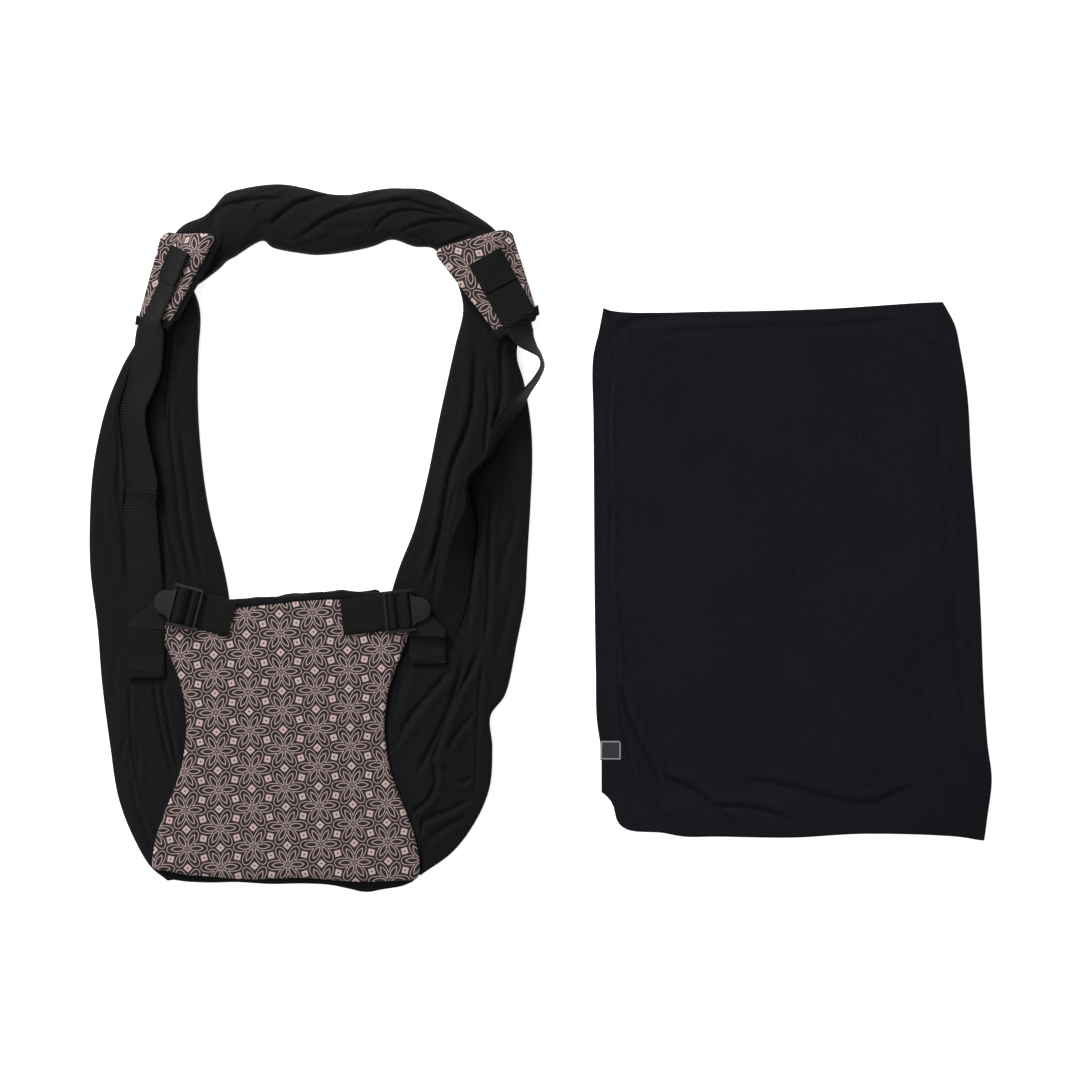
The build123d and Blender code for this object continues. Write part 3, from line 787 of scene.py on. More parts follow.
# ---------------------------------------------------------------- stitching
def stitch_line(corners):
    """A row of short rounded stitches along straight runs between corners, or along a dense curve."""
    length, radius, sides = STITCH["length"], STITCH["radius"], 6
    line = np.array([[*c][:3] for c in corners], float)
    steps = np.linalg.norm(np.diff(line, axis=0), axis=1)
    reach = np.concatenate([[0], np.cumsum(steps)])
    count = max(1, int(reach[-1] / (length + STITCH["gap"])))
    verts, faces = [], []
    ring = [(math.cos(a), math.sin(a)) for a in np.linspace(0, 2 * math.pi, sides, endpoint=False)]
    for i in range(count):
        start = (i + 0.5) * reach[-1] / count - length / 2
        a, b = [np.array([np.interp(start + t, reach, line[:, k]) for k in range(3)]) for t in (0, length)]
        forward = (b - a) / max(np.linalg.norm(b - a), 1e-9)
        side = np.cross(forward, (0, 0, 1.0))
        side = side / max(np.linalg.norm(side), 1e-9)
        over = np.cross(side, forward)
        base = len(verts)
        for t, swell in ((0.0, 0.15), (0.14, 0.85), (0.5, 1.0), (0.86, 0.85), (1.0, 0.15)):
            middle = a + (b - a) * t - np.array([0, 0, 0.25 * (1 - swell)])
            verts += [tuple((middle + radius * swell * (side * c + over * s)) * MM) for c, s in ring]
        for first in range(base, base + 4 * sides, sides):
            for j in range(sides):
                n = (j + 1) % sides
                faces.append((first + j, first + n, first + sides + n, first + sides + j))
        faces.append(tuple(range(base + sides - 1, base - 1, -1)))
        faces.append(tuple(range(base + 4 * sides, base + 5 * sides)))
    mesh = bpy.data.meshes.new("stitches")
    mesh.from_pydata(verts, [], faces)
    layer = mesh.uv_layers.new(name="UVMap")
    places = np.array([v.co[:2] for v in mesh.vertices])
    corners_of = np.array([loop.vertex_index for loop in mesh.loops])
    layer.data.foreach_set("uv", places[corners_of].ravel())
    return finished("stitches", mesh, THREAD)


# ---------------------------------------------------------------- the padded panel
PANEL_SIDE = [
    (-64, 122), (-84, 132), (-104, 128), (-128, 119), (-160, 109), (-200, 103.5), (-237, 109),
    (-272, 121), (-310, 134), (-342, 141), (-358, 140.5),
]


def panel_half(y):
    """Half the panel's width at a height, smoothly through the side points."""
    side = smooth_curve(PANEL_SIDE, 200)[::-1]
    return np.interp(y, side[:, 0], side[:, 1])


def flattened(middle, down):
    """The places on the cloth before it was curved: how far over it from its middle line, and down."""
    steps = np.linalg.norm(np.diff(middle, axis=1), axis=2)
    arc = np.concatenate([np.zeros((len(middle), 1)), np.cumsum(steps, axis=1)], 1)
    centre = middle.shape[1] // 2
    return np.stack([arc - arc[:, centre : centre + 1], -down], -1)


def rounded(u, v, width, length, radii):
    """Pulls u in near the ends of v, so that a piece has round corners; radii at its start and end."""
    pull = np.zeros(np.broadcast(u, v).shape)
    for reach, radius in ((v * length, radii[0]), ((1 - v) * length, radii[1])):
        short = np.clip(1 - reach / max(radius, 1e-6), 0, 1)
        pull = pull + radius * (1 - np.sqrt(1 - short**2))
    return u * (1 - 2 * pull / width)


def pillow(name, surface, rows, cols, thick, edge_reach, seed, nodes, pucker, flat_cut=False):
    """A padded piece of printed cotton: two faces sewn together round their edge, crowned between the seams.

    surface(u, v) gives the place of the middle of its thickness, its normal and its size along u and v.
    """
    u, v = np.meshgrid(np.linspace(-1, 1, cols), np.linspace(0, 1, rows))
    middle, normal, width, length = surface(u, v)
    from_side, from_end = (1 - np.abs(u)) * width / 2, np.minimum(v, 1 - v) * length
    from_edge = np.minimum(from_side, from_end)
    swell = np.sqrt(np.clip(1 - (1 - np.clip(from_edge / edge_reach, 0, 1)) ** 2, 0, 1))
    crown = 0.82 + 0.18 * np.sin(math.pi * np.clip(v, 0, 1)) * np.cos(u * math.pi / 2)
    side_run = np.where(from_side < from_end, v * length, u * width / 2)
    ripple = noise(side_run / 6.5, from_edge / 14, seed)
    ripple = ripple * np.exp(-from_edge / 13) * np.clip(from_edge / 3, 0, 1)
    drift = noise(u * width / 2 / 48, v * length / 60, seed + 1) * smoothstep(from_edge / 20)
    upper = middle + normal * (thick / 2 * swell * crown + pucker * ripple + 0.45 * drift)[..., None]
    lower = middle - normal * (thick / 2 * swell * 0.94)[..., None]
    place = middle[..., :2] if flat_cut else flattened(middle, v * length)
    obj = joined(name, [grid_object(name, upper, place, PRINT), grid_object("under", lower, place, PRINT)])
    with opened(obj.data) as work:
        bmesh.ops.remove_doubles(work, verts=work.verts, dist=0.02 * MM)
        bmesh.ops.recalc_face_normals(work, faces=work.faces)
    place_piece(obj, "carrier", "printed_cotton", *nodes)
    return obj


def hem_fall(x):
    """How far the panel's top edge and the cloth behind it hang down towards the left lock."""
    return 9.0 * smoothstep((-205.0 - x) / 130.0)


def panel_surface(u, v):
    low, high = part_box("panel_face")
    centre = (low.x + high.x) / 2 / MM
    top = high.y / MM - 5.0 + 4.0 * np.cos(u * math.pi / 2) ** 2 - 11.0 * smoothstep((np.abs(u) - 0.8) / 0.2)
    top = top + 3.0 - hem_fall(centre + 130 * u)
    bottom = low.y / MM + 3.0 - 3.0 * u + 1.4 * np.sin(u * 7.0 + 0.6) + 6.0 * smoothstep((-u - 0.75) / 0.25)
    y = top + (bottom - top) * v
    half = panel_half(y) * (1 + 0.006 * np.sin(v * 17.0))
    x = centre + rounded(u, v, 2 * half, 290, (5, 7)) * half
    z = (CLOTH_TOP + PANEL_TOP) / 2 + 0.35 + 0.8 * noise(x / 75 + 3, y / 60, 41)
    normal = np.stack([0 * u, 0 * u, 1 + 0 * u], -1)
    return np.stack([x, y, z], -1), normal, 2 * half, 294.0


def build_panel():
    obj = pillow(
        "panel_quilt", panel_surface, 200, 180, PANEL_TOP - CLOTH_TOP - 0.6, 7.0, 21,
        ("panel_face", "panel_padding", "panel_lining"), pucker=0.45, flat_cut=True,
    )
    fit_print(obj, (-269.5, -180.8), 2.0)
    return obj


def fit_print(obj, flower, turn):
    """Turns the piece's flat cloth map and moves it, to put a flower under that place seen from above."""
    c, s = math.cos(math.radians(turn)), math.sin(math.radians(turn))
    layer = obj.data.uv_layers["UVMap"]
    uv = np.zeros(2 * len(layer.data))
    layer.data.foreach_get("uv", uv)
    uv = uv.reshape(-1, 2)
    corner_of = np.array([loop.vertex_index for loop in obj.data.loops])
    places = np.array([v.co[:] for v in obj.data.vertices])[corner_of] / MM
    upper = places[:, 2] >= np.median(places[:, 2])
    nearest = np.argmin(np.hypot(places[:, 0] - flower[0], places[:, 1] - flower[1]) + 1000.0 * ~upper)
    x, y = (uv - uv[nearest]).T
    layer.data.foreach_set("uv", np.stack([x * c + y * s, -x * s + y * c], -1).ravel())


def panel_binding():
    """The black binding that closes the panel's top edge and hides its raw seam."""
    low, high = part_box("panel_top_binding")
    x0, x1 = low.x / MM, high.x / MM
    stations = []
    for i, x in enumerate(np.linspace(x0 - 3, x1 + 6, 12)):
        upper = high.y / MM + 1.5 + 0.7 * math.sin(i * 1.1) + 0.5 * math.sin(i * 2.3 + 1) - hem_fall(x)
        stations.append((x, upper, x + 1, low.y / MM + 0.5 - hem_fall(x), PANEL_TOP - 14.2))
    obj = bundle("panel_binding", stations, rows=140, cols=36, seed=31, roundness=0.5, wrinkle=0.25)
    for vertex in obj.data.vertices:
        vertex.co.z += 14.4 * MM
    return place_piece(obj, "carrier", "jersey", "panel_top_binding")


# ---------------------------------------------------------------- the shoulder patches
PATCH = {
    "left": {
        "corners": ((-397, 322), (-337, 317), (-385.5, 226), (-422, 231)), "radii": (8, 2),
        "high": (42.0, 38.0), "drop": (28.0, 26.0), "ramp": (0.04, -0.06), "reach": (0.46, 0.76),
        "lean": -2.0, "print_turn": -6.6, "flower": (-359, 299),
    },
    "right": {
        "corners": ((-113, 301), (-31, 326), (-4, 240), (-46, 215)), "radii": (10, 2),
        "high": (37.0, 37.0), "drop": (9.0, 8.0), "ramp": (0.75, 0.8), "reach": (0.45, 0.45),
        "lean": 3.0, "print_turn": 5.5, "flower": (-73.2, 281.5),
    },
}
PATCH_THICK, PATCH_LENGTH = 5.0, 96.0


def patch_middle(side, u, v):
    """A place on the patch's middle surface: u runs across it, v from its wide end to its narrow end.

    It lies high along the neck side and falls away towards the arm under the strap.
    """
    data = PATCH[side]
    u = rounded(u, v, 70, PATCH_LENGTH, data["radii"])
    tl, tr, br, bl = [np.array(c, float) for c in data["corners"]]
    share = ((u + 1) / 2)[..., None]
    down = v[..., None]
    plan = (tl * (1 - share) + tr * share) * (1 - down) + (bl * (1 - share) + br * share) * down
    width = np.linalg.norm((tr - tl)[None] * (1 - down) + (br - bl)[None] * down, axis=-1)
    keys = ("high", "drop", "ramp", "reach")
    high, drop, ramp, reach = [data[key][0] * (1 - v) + data[key][1] * v for key in keys]
    away = (ramp - u if side == "left" else u - ramp) / reach
    fall = 0.5 + 0.5 * np.tanh(1.35 * away) / math.tanh(1.35 * 1.2)
    z = high - drop * fall + data["lean"] * (u if side == "left" else -u) + 0.5 * np.sin(v * 8 + u * 2)
    return np.concatenate([plan, z[..., None]], -1), width


def patch_surface(side):
    def surface(u, v):
        middle, width = patch_middle(side, u, v)
        step = 0.01
        du = patch_middle(side, u + step, v)[0] - patch_middle(side, u - step, v)[0]
        dv = patch_middle(side, u, v + step)[0] - patch_middle(side, u, v - step)[0]
        normal = np.cross(dv, du)
        normal /= np.linalg.norm(normal, axis=-1)[..., None]
        return middle, normal, width, PATCH_LENGTH
    return surface


def patch_point(side, u, v, lift):
    """A place above the patch, with the direction across it there."""
    one = np.array([u], float), np.array([v], float)
    middle, normal, _, _ = patch_surface(side)(*one)
    aside = patch_middle(side, one[0] + 0.05, one[1])[0] - patch_middle(side, one[0] - 0.05, one[1])[0]
    across = aside[0] / np.linalg.norm(aside[0])
    place = middle[0] + normal[0] * (PATCH_THICK / 2 + lift)
    return (*place, *(-across))


def along_patch(side, start, end, count, lift):
    """Places above the patch along a straight line from one (u, v) to another."""
    (u0, v0), (u1, v1) = start, end
    shares = np.linspace(0, 1, count)
    return [patch_point(side, u0 + (u1 - u0) * t, v0 + (v1 - v0) * t, lift) for t in shares]


def build_patch(side):
    data = PATCH[side]
    pad = pillow(
        f"{side}_patch_quilt", patch_surface(side), 90, 70, PATCH_THICK, 4.0, 51,
        [f"{side}_shoulder_{n}" for n in ("cover", "padding", "lining")], pucker=0.3,
    )
    fit_print(pad, data["flower"], data["print_turn"])
    u = np.linspace(-1.14, 1.14, 9)
    edges = [patch_middle(side, u, np.full(9, v))[0] for v in (0.965, 1.075)]
    rails = smooth_curve(np.concatenate(edges, 1), 60, dims=3)
    turn = np.linspace(0, 2 * math.pi, 24, endpoint=False)
    side_share, up = (1 - np.cos(turn)) / 2, np.sin(turn)
    side_share = side_share[None, :, None]
    points = rails[:, None, 0:3] * (1 - side_share) + rails[:, None, 3:6] * side_share
    points[..., 2] += (np.sign(up) * np.abs(up) ** 0.5 * PATCH_THICK * 0.42)[None]
    points[..., 2] += 0.25 * np.sin(rails[:, 0:1] * 0.9)
    s = np.linspace(0, 60, 60)[:, None]
    uv = np.stack(np.broadcast_arrays(s, np.linspace(0, 20, 25)[None]), -1)
    binding = capped(grid_object(f"{side}_patch_binding", points, uv, JERSEY, wrap=True))
    place_piece(binding, "carrier", "jersey", f"{side}_shoulder_binding")
    return [pad, binding]


STRAP_ON_PATCH = {
    "left": {"top": (0.06, 0.20), "step": (0.0, 0.575), "end": (-0.06, 1.00)},
    "right": {"top": (0.07, 0.235), "step": (0.08, 0.60), "end": (0.13, 1.00)},
}


def strap_end(side):
    """The strap's end on the patch, turned back over the strap and box-stitched."""
    data = STRAP_ON_PATCH[side]
    (u0, v0), (u1, v1) = data["top"], data["step"]
    obj = ribbon(f"{side}_strap_end_webbing", along_patch(side, data["top"], data["step"], 9, 2.9))
    place_piece(obj, "carrier", "webbing", f"{side}_strap_sewn_end")
    width = patch_middle(side, np.array([u0]), np.array([v0]))[1][0]
    half = 14.5 / (width / 2)
    va, vb = v0 + 0.045, v1 - 0.045
    box = [(u0 - half, va), (u0 + half, va), (u1 + half, vb), (u1 - half, vb), (u0 - half, va)]
    cross = [[box[0], box[2]], [box[1], box[3]]]
    runs = []
    for corners in [box] + cross:
        dense = []
        for a, b in zip(corners, corners[1:]):
            dense += [point[:3] for point in along_patch(side, a, b, 12, 3.9)]
        runs.append(stitch_line(dense))
    stitches = joined(f"{side}_strap_end_thread", runs)
    place_piece(stitches, "carrier", "thread", f"{side}_strap_stitching")
    return obj


def patch_lining(side):
    """The jersey under the patch. On the left a strip of it shows beyond the edge nearer the neck."""
    reach = 1.27 if side == "left" else 1.03
    u, v = np.meshgrid(np.linspace(-0.99, reach, 60), np.linspace(-0.005, 0.98, 60))
    middle, normal, width, length = patch_surface(side)(u, v)
    points = middle - normal * (PATCH_THICK / 2 + 0.2)
    points[..., 2] -= 2.2 * smoothstep((u - 1.12) / 0.15) - 0.3 * noise(v * 9, u * 3, 77)
    uv = np.stack([u * width / 2, v * length], -1)
    obj = thicken(grid_object(f"{side}_patch_lining", points, uv, JERSEY), 1.1)
    return place_piece(obj, "carrier", "jersey")


# ---------------------------------------------------------------- the locks
def ladder_lock(side):
    """The moulded lock with every edge rounded."""
    node = f"{side}_ladder_lock"
    source = next(o for o in bpy.data.objects if o.get("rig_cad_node") == node or o.name == node)
    mesh = source.data.copy()
    mesh.materials.clear()
    obj = linked(f"{side}_lock_moulding", mesh)
    with opened(mesh) as work:
        bmesh.ops.remove_doubles(work, verts=work.verts, dist=0.005 * MM)
        for face in work.faces:
            face.smooth = True
            face.material_index = 0
    modified(obj, "BEVEL", width=0.35 * MM, segments=3, limit_method="ANGLE", angle_limit=math.radians(35))
    obj.data.materials.append(PLASTIC)
    return place_piece(obj, f"{side}_lock", "lock_plastic", node)


# ---------------------------------------------------------------- the wrap's jersey
LEFT_BAND = [
    (-398, 286, -366, 266, 20), (-410, 250, -359, 247, 21), (-422, 212, -357, 228, 20),
    (-438, 183, -359, 200, 18), (-453, 148, -360, 163, 17), (-463, 113, -359, 122, 16),
    (-471, 67, -354, 67, 15), (-474, 11, -346, 20, 14.5), (-473, -35, -334, -25, 14),
    (-466, -91, -326, -75, 14), (-461, -152, -330, -150, 14), (-453, -214, -340, -214, 14),
    (-443, -275, -350, -275, 13.5), (-427, -316, -352, -310, 13), (-410, -345, -350, -335, 12),
    (-392, -360, -345, -352, 11),
]
RIGHT_BAND = [
    (-90, 280, -12, 262, 22), (-81, 240, -22, 212, 21), (-89, 204, -24, 190, 20),
    (-97, 168, -17, 165, 18.5), (-107, 122, -10, 124, 17), (-118, 67, -8, 85, 16),
    (-132, 11, -10, 35, 15), (-148, -30, -13, -15, 14.5), (-160, -70, -16, -65, 14),
    (-170, -112, -24, -108, 14), (-178, -150, -36, -163, 14), (-180, -185, -52, -187, 14),
    (-182, -222, -50, -220, 14), (-182, -262, -53, -262, 13.5), (-180, -300, -68, -298, 13),
    (-174, -330, -92, -330, 12), (-170, -356, -125, -354, 11),
]
TWIST = [
    (-404, 262, -366, 238, 12), (-396, 296, -368, 258, 18), (-377, 328, -352, 272, 24),
    (-353, 339, -337, 284, 25.5), (-343.5, 347, -330, 291, 26), (-331, 361, -321, 296, 27),
    (-311, 368, -293, 313, 28), (-280, 372, -280, 305, 29), (-250, 369, -252, 300, 30),
    (-222, 362, -225, 298, 31), (-204, 361, -198, 302, 31), (-178, 365, -173, 308, 31),
    (-148, 368, -155, 314, 30), (-118, 366, -132, 307, 29), (-97, 356, -112, 305, 27),
    (-71, 342, -97, 285, 25), (-48, 325, -84, 268, 23), (-28, 296, -78, 250, 21),
    (-16, 262, -76, 232, 18),
]
LEFT_FOLDS = [
    ([(-389, 225), (-387.4, 193), (-390.6, 171), (-392.2, 139), (-390.6, 110)], 3.4, 5),
    ([(-363.5, 206), (-361.9, 171), (-363.5, 139), (-360.3, 107), (-358.7, 78)], 2.2, 4),
    ([(-387.4, 165), (-389, 123), (-384.2, 75.5), (-379.4, 27.6), (-373, -10.6), (-366.7, -36),
      (-360.3, -56)], 4.6, 6),
    ([(-379.4, 114), (-373, 75.5), (-368.2, 40.4), (-365.1, 11.7), (-360.3, -17), (-355.5, -36),
      (-349.1, -56)], 4.2, 6),
    ([(-403.3, 88), (-398.5, 53), (-393.7, 27.6), (-387.4, -4.2), (-381, -26.5), (-373, -54)], 4.2, 6),
    ([(-398.5, 18), (-395.3, -10.6), (-392.2, -50)], 3.0, 5),
    ([(-438.4, 158), (-443.2, 123), (-441.6, 91), (-443.2, 53), (-438.4, 15), (-435.2, -17),
      (-433.6, -58)], 3.6, 6),
    ([(-461, 60), (-459, 15), (-453, -17), (-448, -50)], 1.8, 9),
    ([(-445, -115), (-448, -160), (-443, -185)], 1.6, 8),
    ([(-406.5, -146), (-401.7, -180), (-395.3, -211), (-387.4, -243), (-381, -262)], 4.0, 5),
    ([(-398.5, -146), (-392.2, -183), (-385.8, -215), (-379.4, -246)], 3.8, 5),
    ([(-432, -150), (-430.4, -189), (-428.8, -215), (-425.6, -237), (-419.2, -265)], 3.4, 5),
    ([(-432, -190), (-424, -218), (-420.8, -246)], 2.4, 5),
    ([(-435, -208), (-442, -234)], 1.8, 5),
    ([(-430.4, -252), (-424, -282), (-416, -304), (-405, -334)], 3.4, 6),
    ([(-422.4, -280), (-413, -307), (-405, -328)], 2.6, 5),
]
RIGHT_FOLDS = [
    ([(-120, -60), (-117, -42), (-107.6, -8), (-101, 24), (-96.6, 52), (-90, 80), (-78, 109),
      (-70, 140), (-68, 172), (-66, 214)], 4.8, 8),
    ([(-40, 214), (-40, 178), (-40, 150), (-46, 124), (-50, 108)], 4.4, 7),
    ([(-57, 180), (-54, 140), (-57, 109), (-58, 84)], 3.6, 5),
    ([(-60, 45), (-58, 28), (-63.5, -2), (-70, -39), (-73, -71), (-78, -104)], 4.0, 6),
    ([(-49, 70), (-52.5, 14), (-53, -20), (-54, -58), (-55.7, -90), (-61, -118)], 4.2, 6),
    ([(-24, 36), (-29, 5), (-38, -20), (-43, -56)], 2.6, 8),
    ([(-112, -65), (-106, -20), (-97, 20), (-88, 60)], 2.6, 7),
    ([(-92, -136), (-112, -159), (-131, -181), (-150, -209), (-164, -228)], 4.6, 8),
    ([(-80, -120), (-86, -152), (-103, -197), (-118.7, -228), (-132, -254)], 5.0, 8),
    ([(-62, -108), (-71, -134), (-84, -159), (-97, -187), (-111, -228), (-118, -246)], 4.6, 7),
    ([(-66, -180), (-81, -197), (-93, -214), (-98, -226)], 3.2, 6),
    ([(-60, -122), (-64.5, -175), (-66.7, -222), (-68, -275)], 2.6, 5),
    ([(-115, -230), (-110, -246), (-111, -262), (-119, -276), (-140, -292)], 4.0, 6),
    ([(-70, -250), (-84, -257), (-95, -246), (-100, -236)], 3.0, 6),
    ([(-70, -272), (-93, -285), (-122, -298), (-136, -324)], 3.8, 7),
    ([(-76, -292), (-98, -303), (-118, -318)], 2.4, 7),
    ([(-30, -60), (-40, -100), (-50, -130)], 2.0, 9),
    ([(-130, -120), (-148, -160), (-160, -195)], 2.6, 9),
]
TWIST_FOLDS = [
    ([(-342, 322), (-342, 338), (-333, 347), (-313, 352), (-290, 355), (-267, 355)], 3.4, 6),
    ([(-286, 324), (-270, 339), (-254, 350), (-234, 357), (-212, 361)], 3.8, 6),
    ([(-297, 338), (-295, 347), (-277, 354)], 1.8, 5),
    ([(-264, 307), (-244, 320), (-224, 334), (-198, 344), (-171, 349), (-145, 354), (-128, 350),
      (-111, 345), (-92, 339), (-77, 330)], 3.4, 6),
    ([(-177, 315), (-168, 330), (-154, 340), (-135, 343), (-111, 340), (-92, 337)], 3.0, 5),
    ([(-152, 318), (-131, 327), (-105, 333), (-82, 331), (-71, 325)], 3.2, 5),
    ([(-142, 317), (-125, 314), (-115, 304)], 2.2, 5),
    ([(-102, 357), (-92, 346), (-78, 332)], 2.4, 5),
    ([(-112, 305), (-92, 310), (-68, 320)], 2.4, 5),
    ([(-332, 320), (-335, 299), (-350, 279), (-361, 265)], 2.8, 5),
]
FRONT_BOTTOM = [
    (-404, -346), (-396, -355), (-380, -360), (-350, -362), (-320, -361.5), (-285, -363.5), (-250, -363),
    (-222, -364.5), (-204, -368), (-184, -372), (-166, -369), (-148, -366), (-134, -360), (-126, -350),
]


def front_section():
    """The folded front of the wrap under the panel, showing as a wavy hem above it and below it."""
    stations = []
    for i, (x, bottom) in enumerate(smooth_curve(FRONT_BOTTOM, 30)):
        ripple = 0.7 * math.sin(i * 1.35) + 0.5 * math.sin(i * 2.2 + 1.3)
        top = -54.8 + ripple - hem_fall(x) - 240 * smoothstep((abs(x + 264) - 96) / 40)
        stations.append((x, top, x + 1, bottom, CLOTH_TOP - 0.8))
    return bundle(
        "front_jersey", stations, rows=230, cols=200, seed=14, roundness=0.16, edge=0.55, wrinkle=0.35,
    )


SASH_LEFT = [
    (-268, 66), (-234, 61), (-180, 60), (-117, 59), (-40, 58.4), (38, 58), (110, 57.5), (182, 57),
    (214, 63), (246, 68),
]
SASH_RIGHT = [
    (-320, 466), (-291, 470), (-252, 474.5), (-214, 470), (-156, 466), (-78, 463), (0, 459), (77, 453),
    (147, 449), (198, 441), (221, 436), (237, 428), (249, 421),
]
SASH_TOP = [(60, 247), (74.5, 240), (187, 239), (303, 242), (397, 248), (422, 249), (480, 249)]
SASH_BOTTOM = [
    (55, -262), (66, -268), (76, -279), (82, -299), (93, -307), (128, -310), (152, -314), (187, -314),
    (265, -315), (342, -311), (439, -314), (466, -318), (480, -318),
]
SASH_FLAP = [
    (-340, 172), (-311, 148), (-286, 126), (-258, 103), (-226, 91), (-195, 85), (-135, 83), (-76, 77),
    (-16, 75), (39, 77), (102, 73), (182, 77), (221, 75), (260, 73),
]
SASH_UNDER = [
    (-330, 458), (-290, 463), (-254, 463), (-214, 451), (-155, 443), (-96, 439), (-40, 435), (7, 429),
    (55, 425), (102, 422), (142, 416), (170, 412), (260, 404),
]
SASH_FOLDS = [
    ([(75, 215), (100, 228), (150, 237)], 3.0, 9),
    ([(98, 209), (146, 217), (206, 221), (300, 223), (364, 227), (404, 221)], 1.8, 7),
    ([(384, 223), (404, 209), (427, 194), (437, 174)], 2.2, 8),
    ([(412, 170), (416, 142), (422, 102), (425, 55), (429, 7), (435, -40), (439, -96), (443, -155),
      (451, -214), (463, -254)], 2.4, 7),
    ([(83, -147), (95, -187), (111, -222), (127, -254), (132, -270)], 5.0, 7),
    ([(122, -250), (146, -258), (174, -274), (198, -294), (218, -309)], 4.6, 8),
    ([(206, -256), (245, -258), (285, -268), (325, -278), (348, -280), (376, -268), (404, -258)], 3.4, 8),
    ([(166, -282), (222, -284), (253, -292), (273, -306)], 3.8, 7),
    ([(347, -280), (355, -296)], 1.6, 5),
    ([(225, -127), (237, -155), (247, -175)], 2.4, 6),
    ([(398, -151), (412, -187), (420, -222)], 1.6, 8),
    ([(386, 71), (388, 20), (390, -32)], 1.0, 7),
    ([(72, 214), (74, 182), (71, 102), (74, 39), (73, -16), (75, -76), (81, -135), (83, -195)], 2.6, 5),
    ([(88, -226), (101, -258), (123, -286), (143, -309)], 4.2, 6),
]


def outline(points, values):
    """The outline's other coordinate at each value, along a smooth curve through the points."""
    curve = smooth_curve(points, 400)
    return np.interp(values, curve[:, 0], curve[:, 1])


def sash():
    """One wide piece of jersey folded twice: under, over itself, and back on top with its raw edge left."""
    rows, per_layer, turns = 190, 140, 5
    low, high = -316, 246
    gap, base = 1.35, 0.55
    t = np.linspace(0, 1, rows)[:, None]
    edges = (SASH_LEFT, SASH_RIGHT, SASH_FLAP, SASH_UNDER)
    left, right, flap, lower_edge = [outline(edge, low + (high - low) * t) for edge in edges]
    ease = np.linspace(0, 1, per_layer)[None]
    towards_flap = 1 - (1 - ease) ** 1.6
    half_turn = np.linspace(0, math.pi, turns + 2)[1:-1][None]
    bulge, climb = 0.7 * gap * np.sin(half_turn), gap * (1 - np.cos(half_turn)) / 2
    runs = [
        (lower_edge * (1 - ease) + left * ease, base),
        (left - bulge, base + climb),
        (left * (1 - ease) + right * ease, base + gap),
        (right + bulge, base + gap + climb),
        (right * (1 - towards_flap) + flap * towards_flap, base + 2 * gap),
    ]
    x = np.concatenate([across for across, _ in runs], 1)
    resting = np.concatenate([0 * across + height for across, height in runs], 1)
    y = outline(SASH_BOTTOM, x) * (1 - t) + outline(SASH_TOP, x) * t
    inset = np.minimum(np.minimum(x - left, right - x), np.minimum(y - low, high - y))
    swell = 1.5 * smoothstep(inset / 30) * (1 + noise(x / 90, y / 110, 61))
    dents = 0.45 * noise(x / 28, y / 34, 62) + 0.25 * noise(x / 12, y / 16, 63)
    dents = dents + folds_height(x, y, SASH_FOLDS)
    middle_layer = np.abs(resting - base - gap) < 0.01
    beside_flap = 3.2 * np.exp(-(((x - flap + 4.2) / 2.6) ** 2)) * middle_layer
    past_lower_edge = 0.6 * smoothstep((x - lower_edge) / 3.0)
    change = swell + dents * smoothstep((inset + 6) / 14) + beside_flap - past_lower_edge
    z = np.maximum(resting + resting / (base + 2 * gap) * change, 0.45)
    steps = np.hypot(np.diff(x, axis=1), np.diff(z, axis=1))
    girth = np.concatenate([np.zeros((rows, 1)), np.cumsum(steps, axis=1)], 1)
    obj = grid_object("sash_jersey", np.stack([x, y, z], -1), np.stack([girth, y], -1), SASH_JERSEY)
    return place_piece(thicken(obj, 0.8, offset=0), "sash", "jersey", "sash_cloth")


def sash_label(cloth):
    """A blank woven label sewn flat near the sash's left fold."""
    low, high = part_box("sash_label")
    x0, x1, y0, y1 = low.x / MM, high.x / MM, low.y / MM, high.y / MM
    tree = BVHTree.FromObject(cloth, bpy.context.evaluated_depsgraph_get())
    x, y = np.meshgrid(np.linspace(x0 + 1, x1 - 1, 40), np.linspace(y0 + 0.5, y1 - 0.5, 36))
    z = np.zeros(x.shape)
    for index in np.ndindex(x.shape):
        hit = tree.ray_cast(Vector((x[index], y[index], 60)) * MM, Vector((0, 0, -1)))[0]
        z[index] = (hit.z / MM if hit else 2.0) + 0.35
    z = np.minimum(z, np.median(z) + 1.0)
    uv = np.stack([x - (x0 + x1) / 2, y - (y0 + y1) / 2], -1)
    obj = thicken(grid_object("sash_woven_label", np.stack([x, y, z], -1), uv, LABEL), 0.5, offset=0)
    return place_piece(obj, "sash", "label", "sash_label")


# ---------------------------------------------------------------- build everything
panel = build_panel()
over_cloth = [panel]
for side in SIDES:
    patch = build_patch(side)
    lining = patch_lining(side)
    over_cloth += patch + [lining, strap_end(side), adjuster_strap(side), strap_turn(side)]
    lock_webbing(side)
    strap_tail(side)
    build_anchor(side)
    ladder_lock(side)
panel_binding()

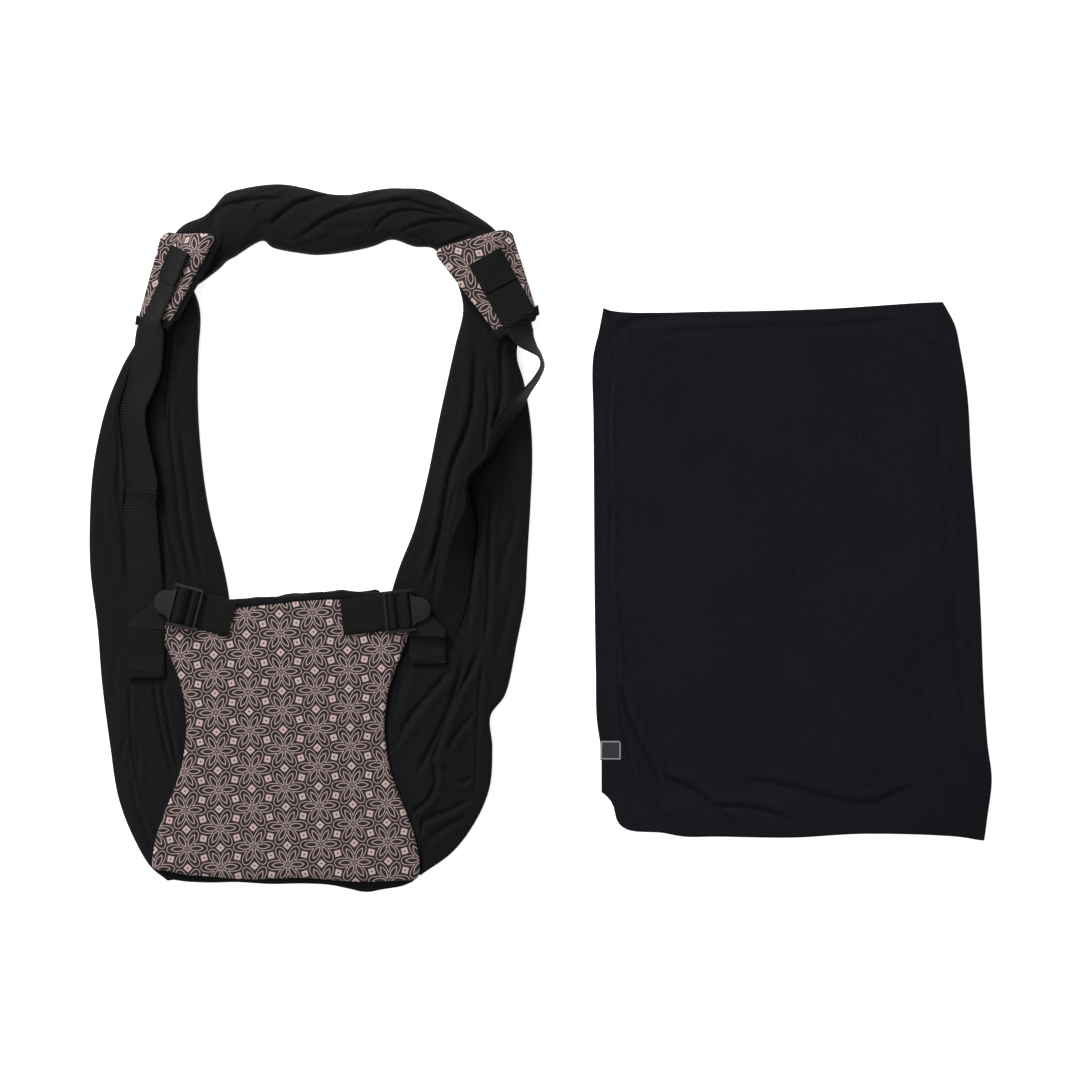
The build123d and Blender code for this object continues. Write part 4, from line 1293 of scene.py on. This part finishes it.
pressed = Ceiling(over_cloth)
left_band = bundle(
    "left_band_jersey", LEFT_BAND, LEFT_FOLDS, rows=430, cols=210, seed=11, ceiling=pressed,
)
right_band = bundle(
    "right_band_jersey", RIGHT_BAND, RIGHT_FOLDS, rows=420, cols=225, seed=12, ceiling=pressed,
)
twist = bundle(
    "back_twist_jersey", TWIST, TWIST_FOLDS, rows=420, cols=210, seed=13, ceiling=pressed, air=0.3,
    roundness=0.62, edge=0.4, wrinkle=0.9, spiral=(5, 60, 1.6),
)
front = front_section()
for obj, node in (
    (left_band, "wrap_left_band"), (right_band, "wrap_right_band"), (twist, "wrap_back_twist"),
    (front, "wrap_front_section"),
):
    place_piece(capped(obj), "carrier", "jersey", node)
sash_cloth = sash()
sash_label(sash_cloth)


# ---------------------------------------------------------------- floor, light and camera
def white_floor():
    n = Nodes("white_floor")
    n.shader.inputs["Base Color"].default_value = (0.9, 0.9, 0.9, 1)
    n.shader.inputs["Roughness"].default_value = 0.9
    n.shader.inputs["Emission Color"].default_value = (1, 1, 1, 1)
    n.shader.inputs["Emission Strength"].default_value = 0.8
    mesh = bpy.data.meshes.new("floor")
    mesh.from_pydata([(-4, -4, 0), (4, -4, 0), (4, 4, 0), (-4, 4, 0)], [], [(0, 1, 2, 3)])
    mesh.materials.append(n.material)
    floor = linked("floor", mesh)
    return floor


def area_light(name, place, size, power):
    """A round light that points at the middle of the floor."""
    light = bpy.data.lights.new(name, "AREA")
    light.shape, light.size, light.energy = "DISK", size, power
    obj = linked(name, light)
    obj.location = place
    obj.rotation_euler = (-Vector(place)).to_track_quat("-Z", "Y").to_euler()


def overhead_camera():
    """A long lens straight above, far enough up for its frame to be as wide as it should be on the cloth."""
    lens, sensor, frame_width, cloth_height = 135, 36, 1.134, 0.015
    camera = bpy.data.cameras.new("camera")
    camera.lens, camera.sensor_width, camera.sensor_fit = lens, sensor, "HORIZONTAL"
    obj = linked("camera", camera)
    obj.location = (0.0, -0.0016, cloth_height + frame_width * lens / sensor)
    bpy.context.scene.camera = obj


floor = white_floor()
area_light("key", (-1.5, 2.6, 2.3), size=1.3, power=108)
area_light("fill", (-1.4, 0.2, 3.0), size=2.0, power=33)
overhead_camera()
world = bpy.data.worlds.new("world")
world.use_nodes = True
background = world.node_tree.nodes["Background"]
background.inputs["Color"].default_value = (1, 1, 1, 1)
background.inputs["Strength"].default_value = 0.28
bpy.context.scene.world = world
bpy.context.scene.view_settings.view_transform = "Standard"
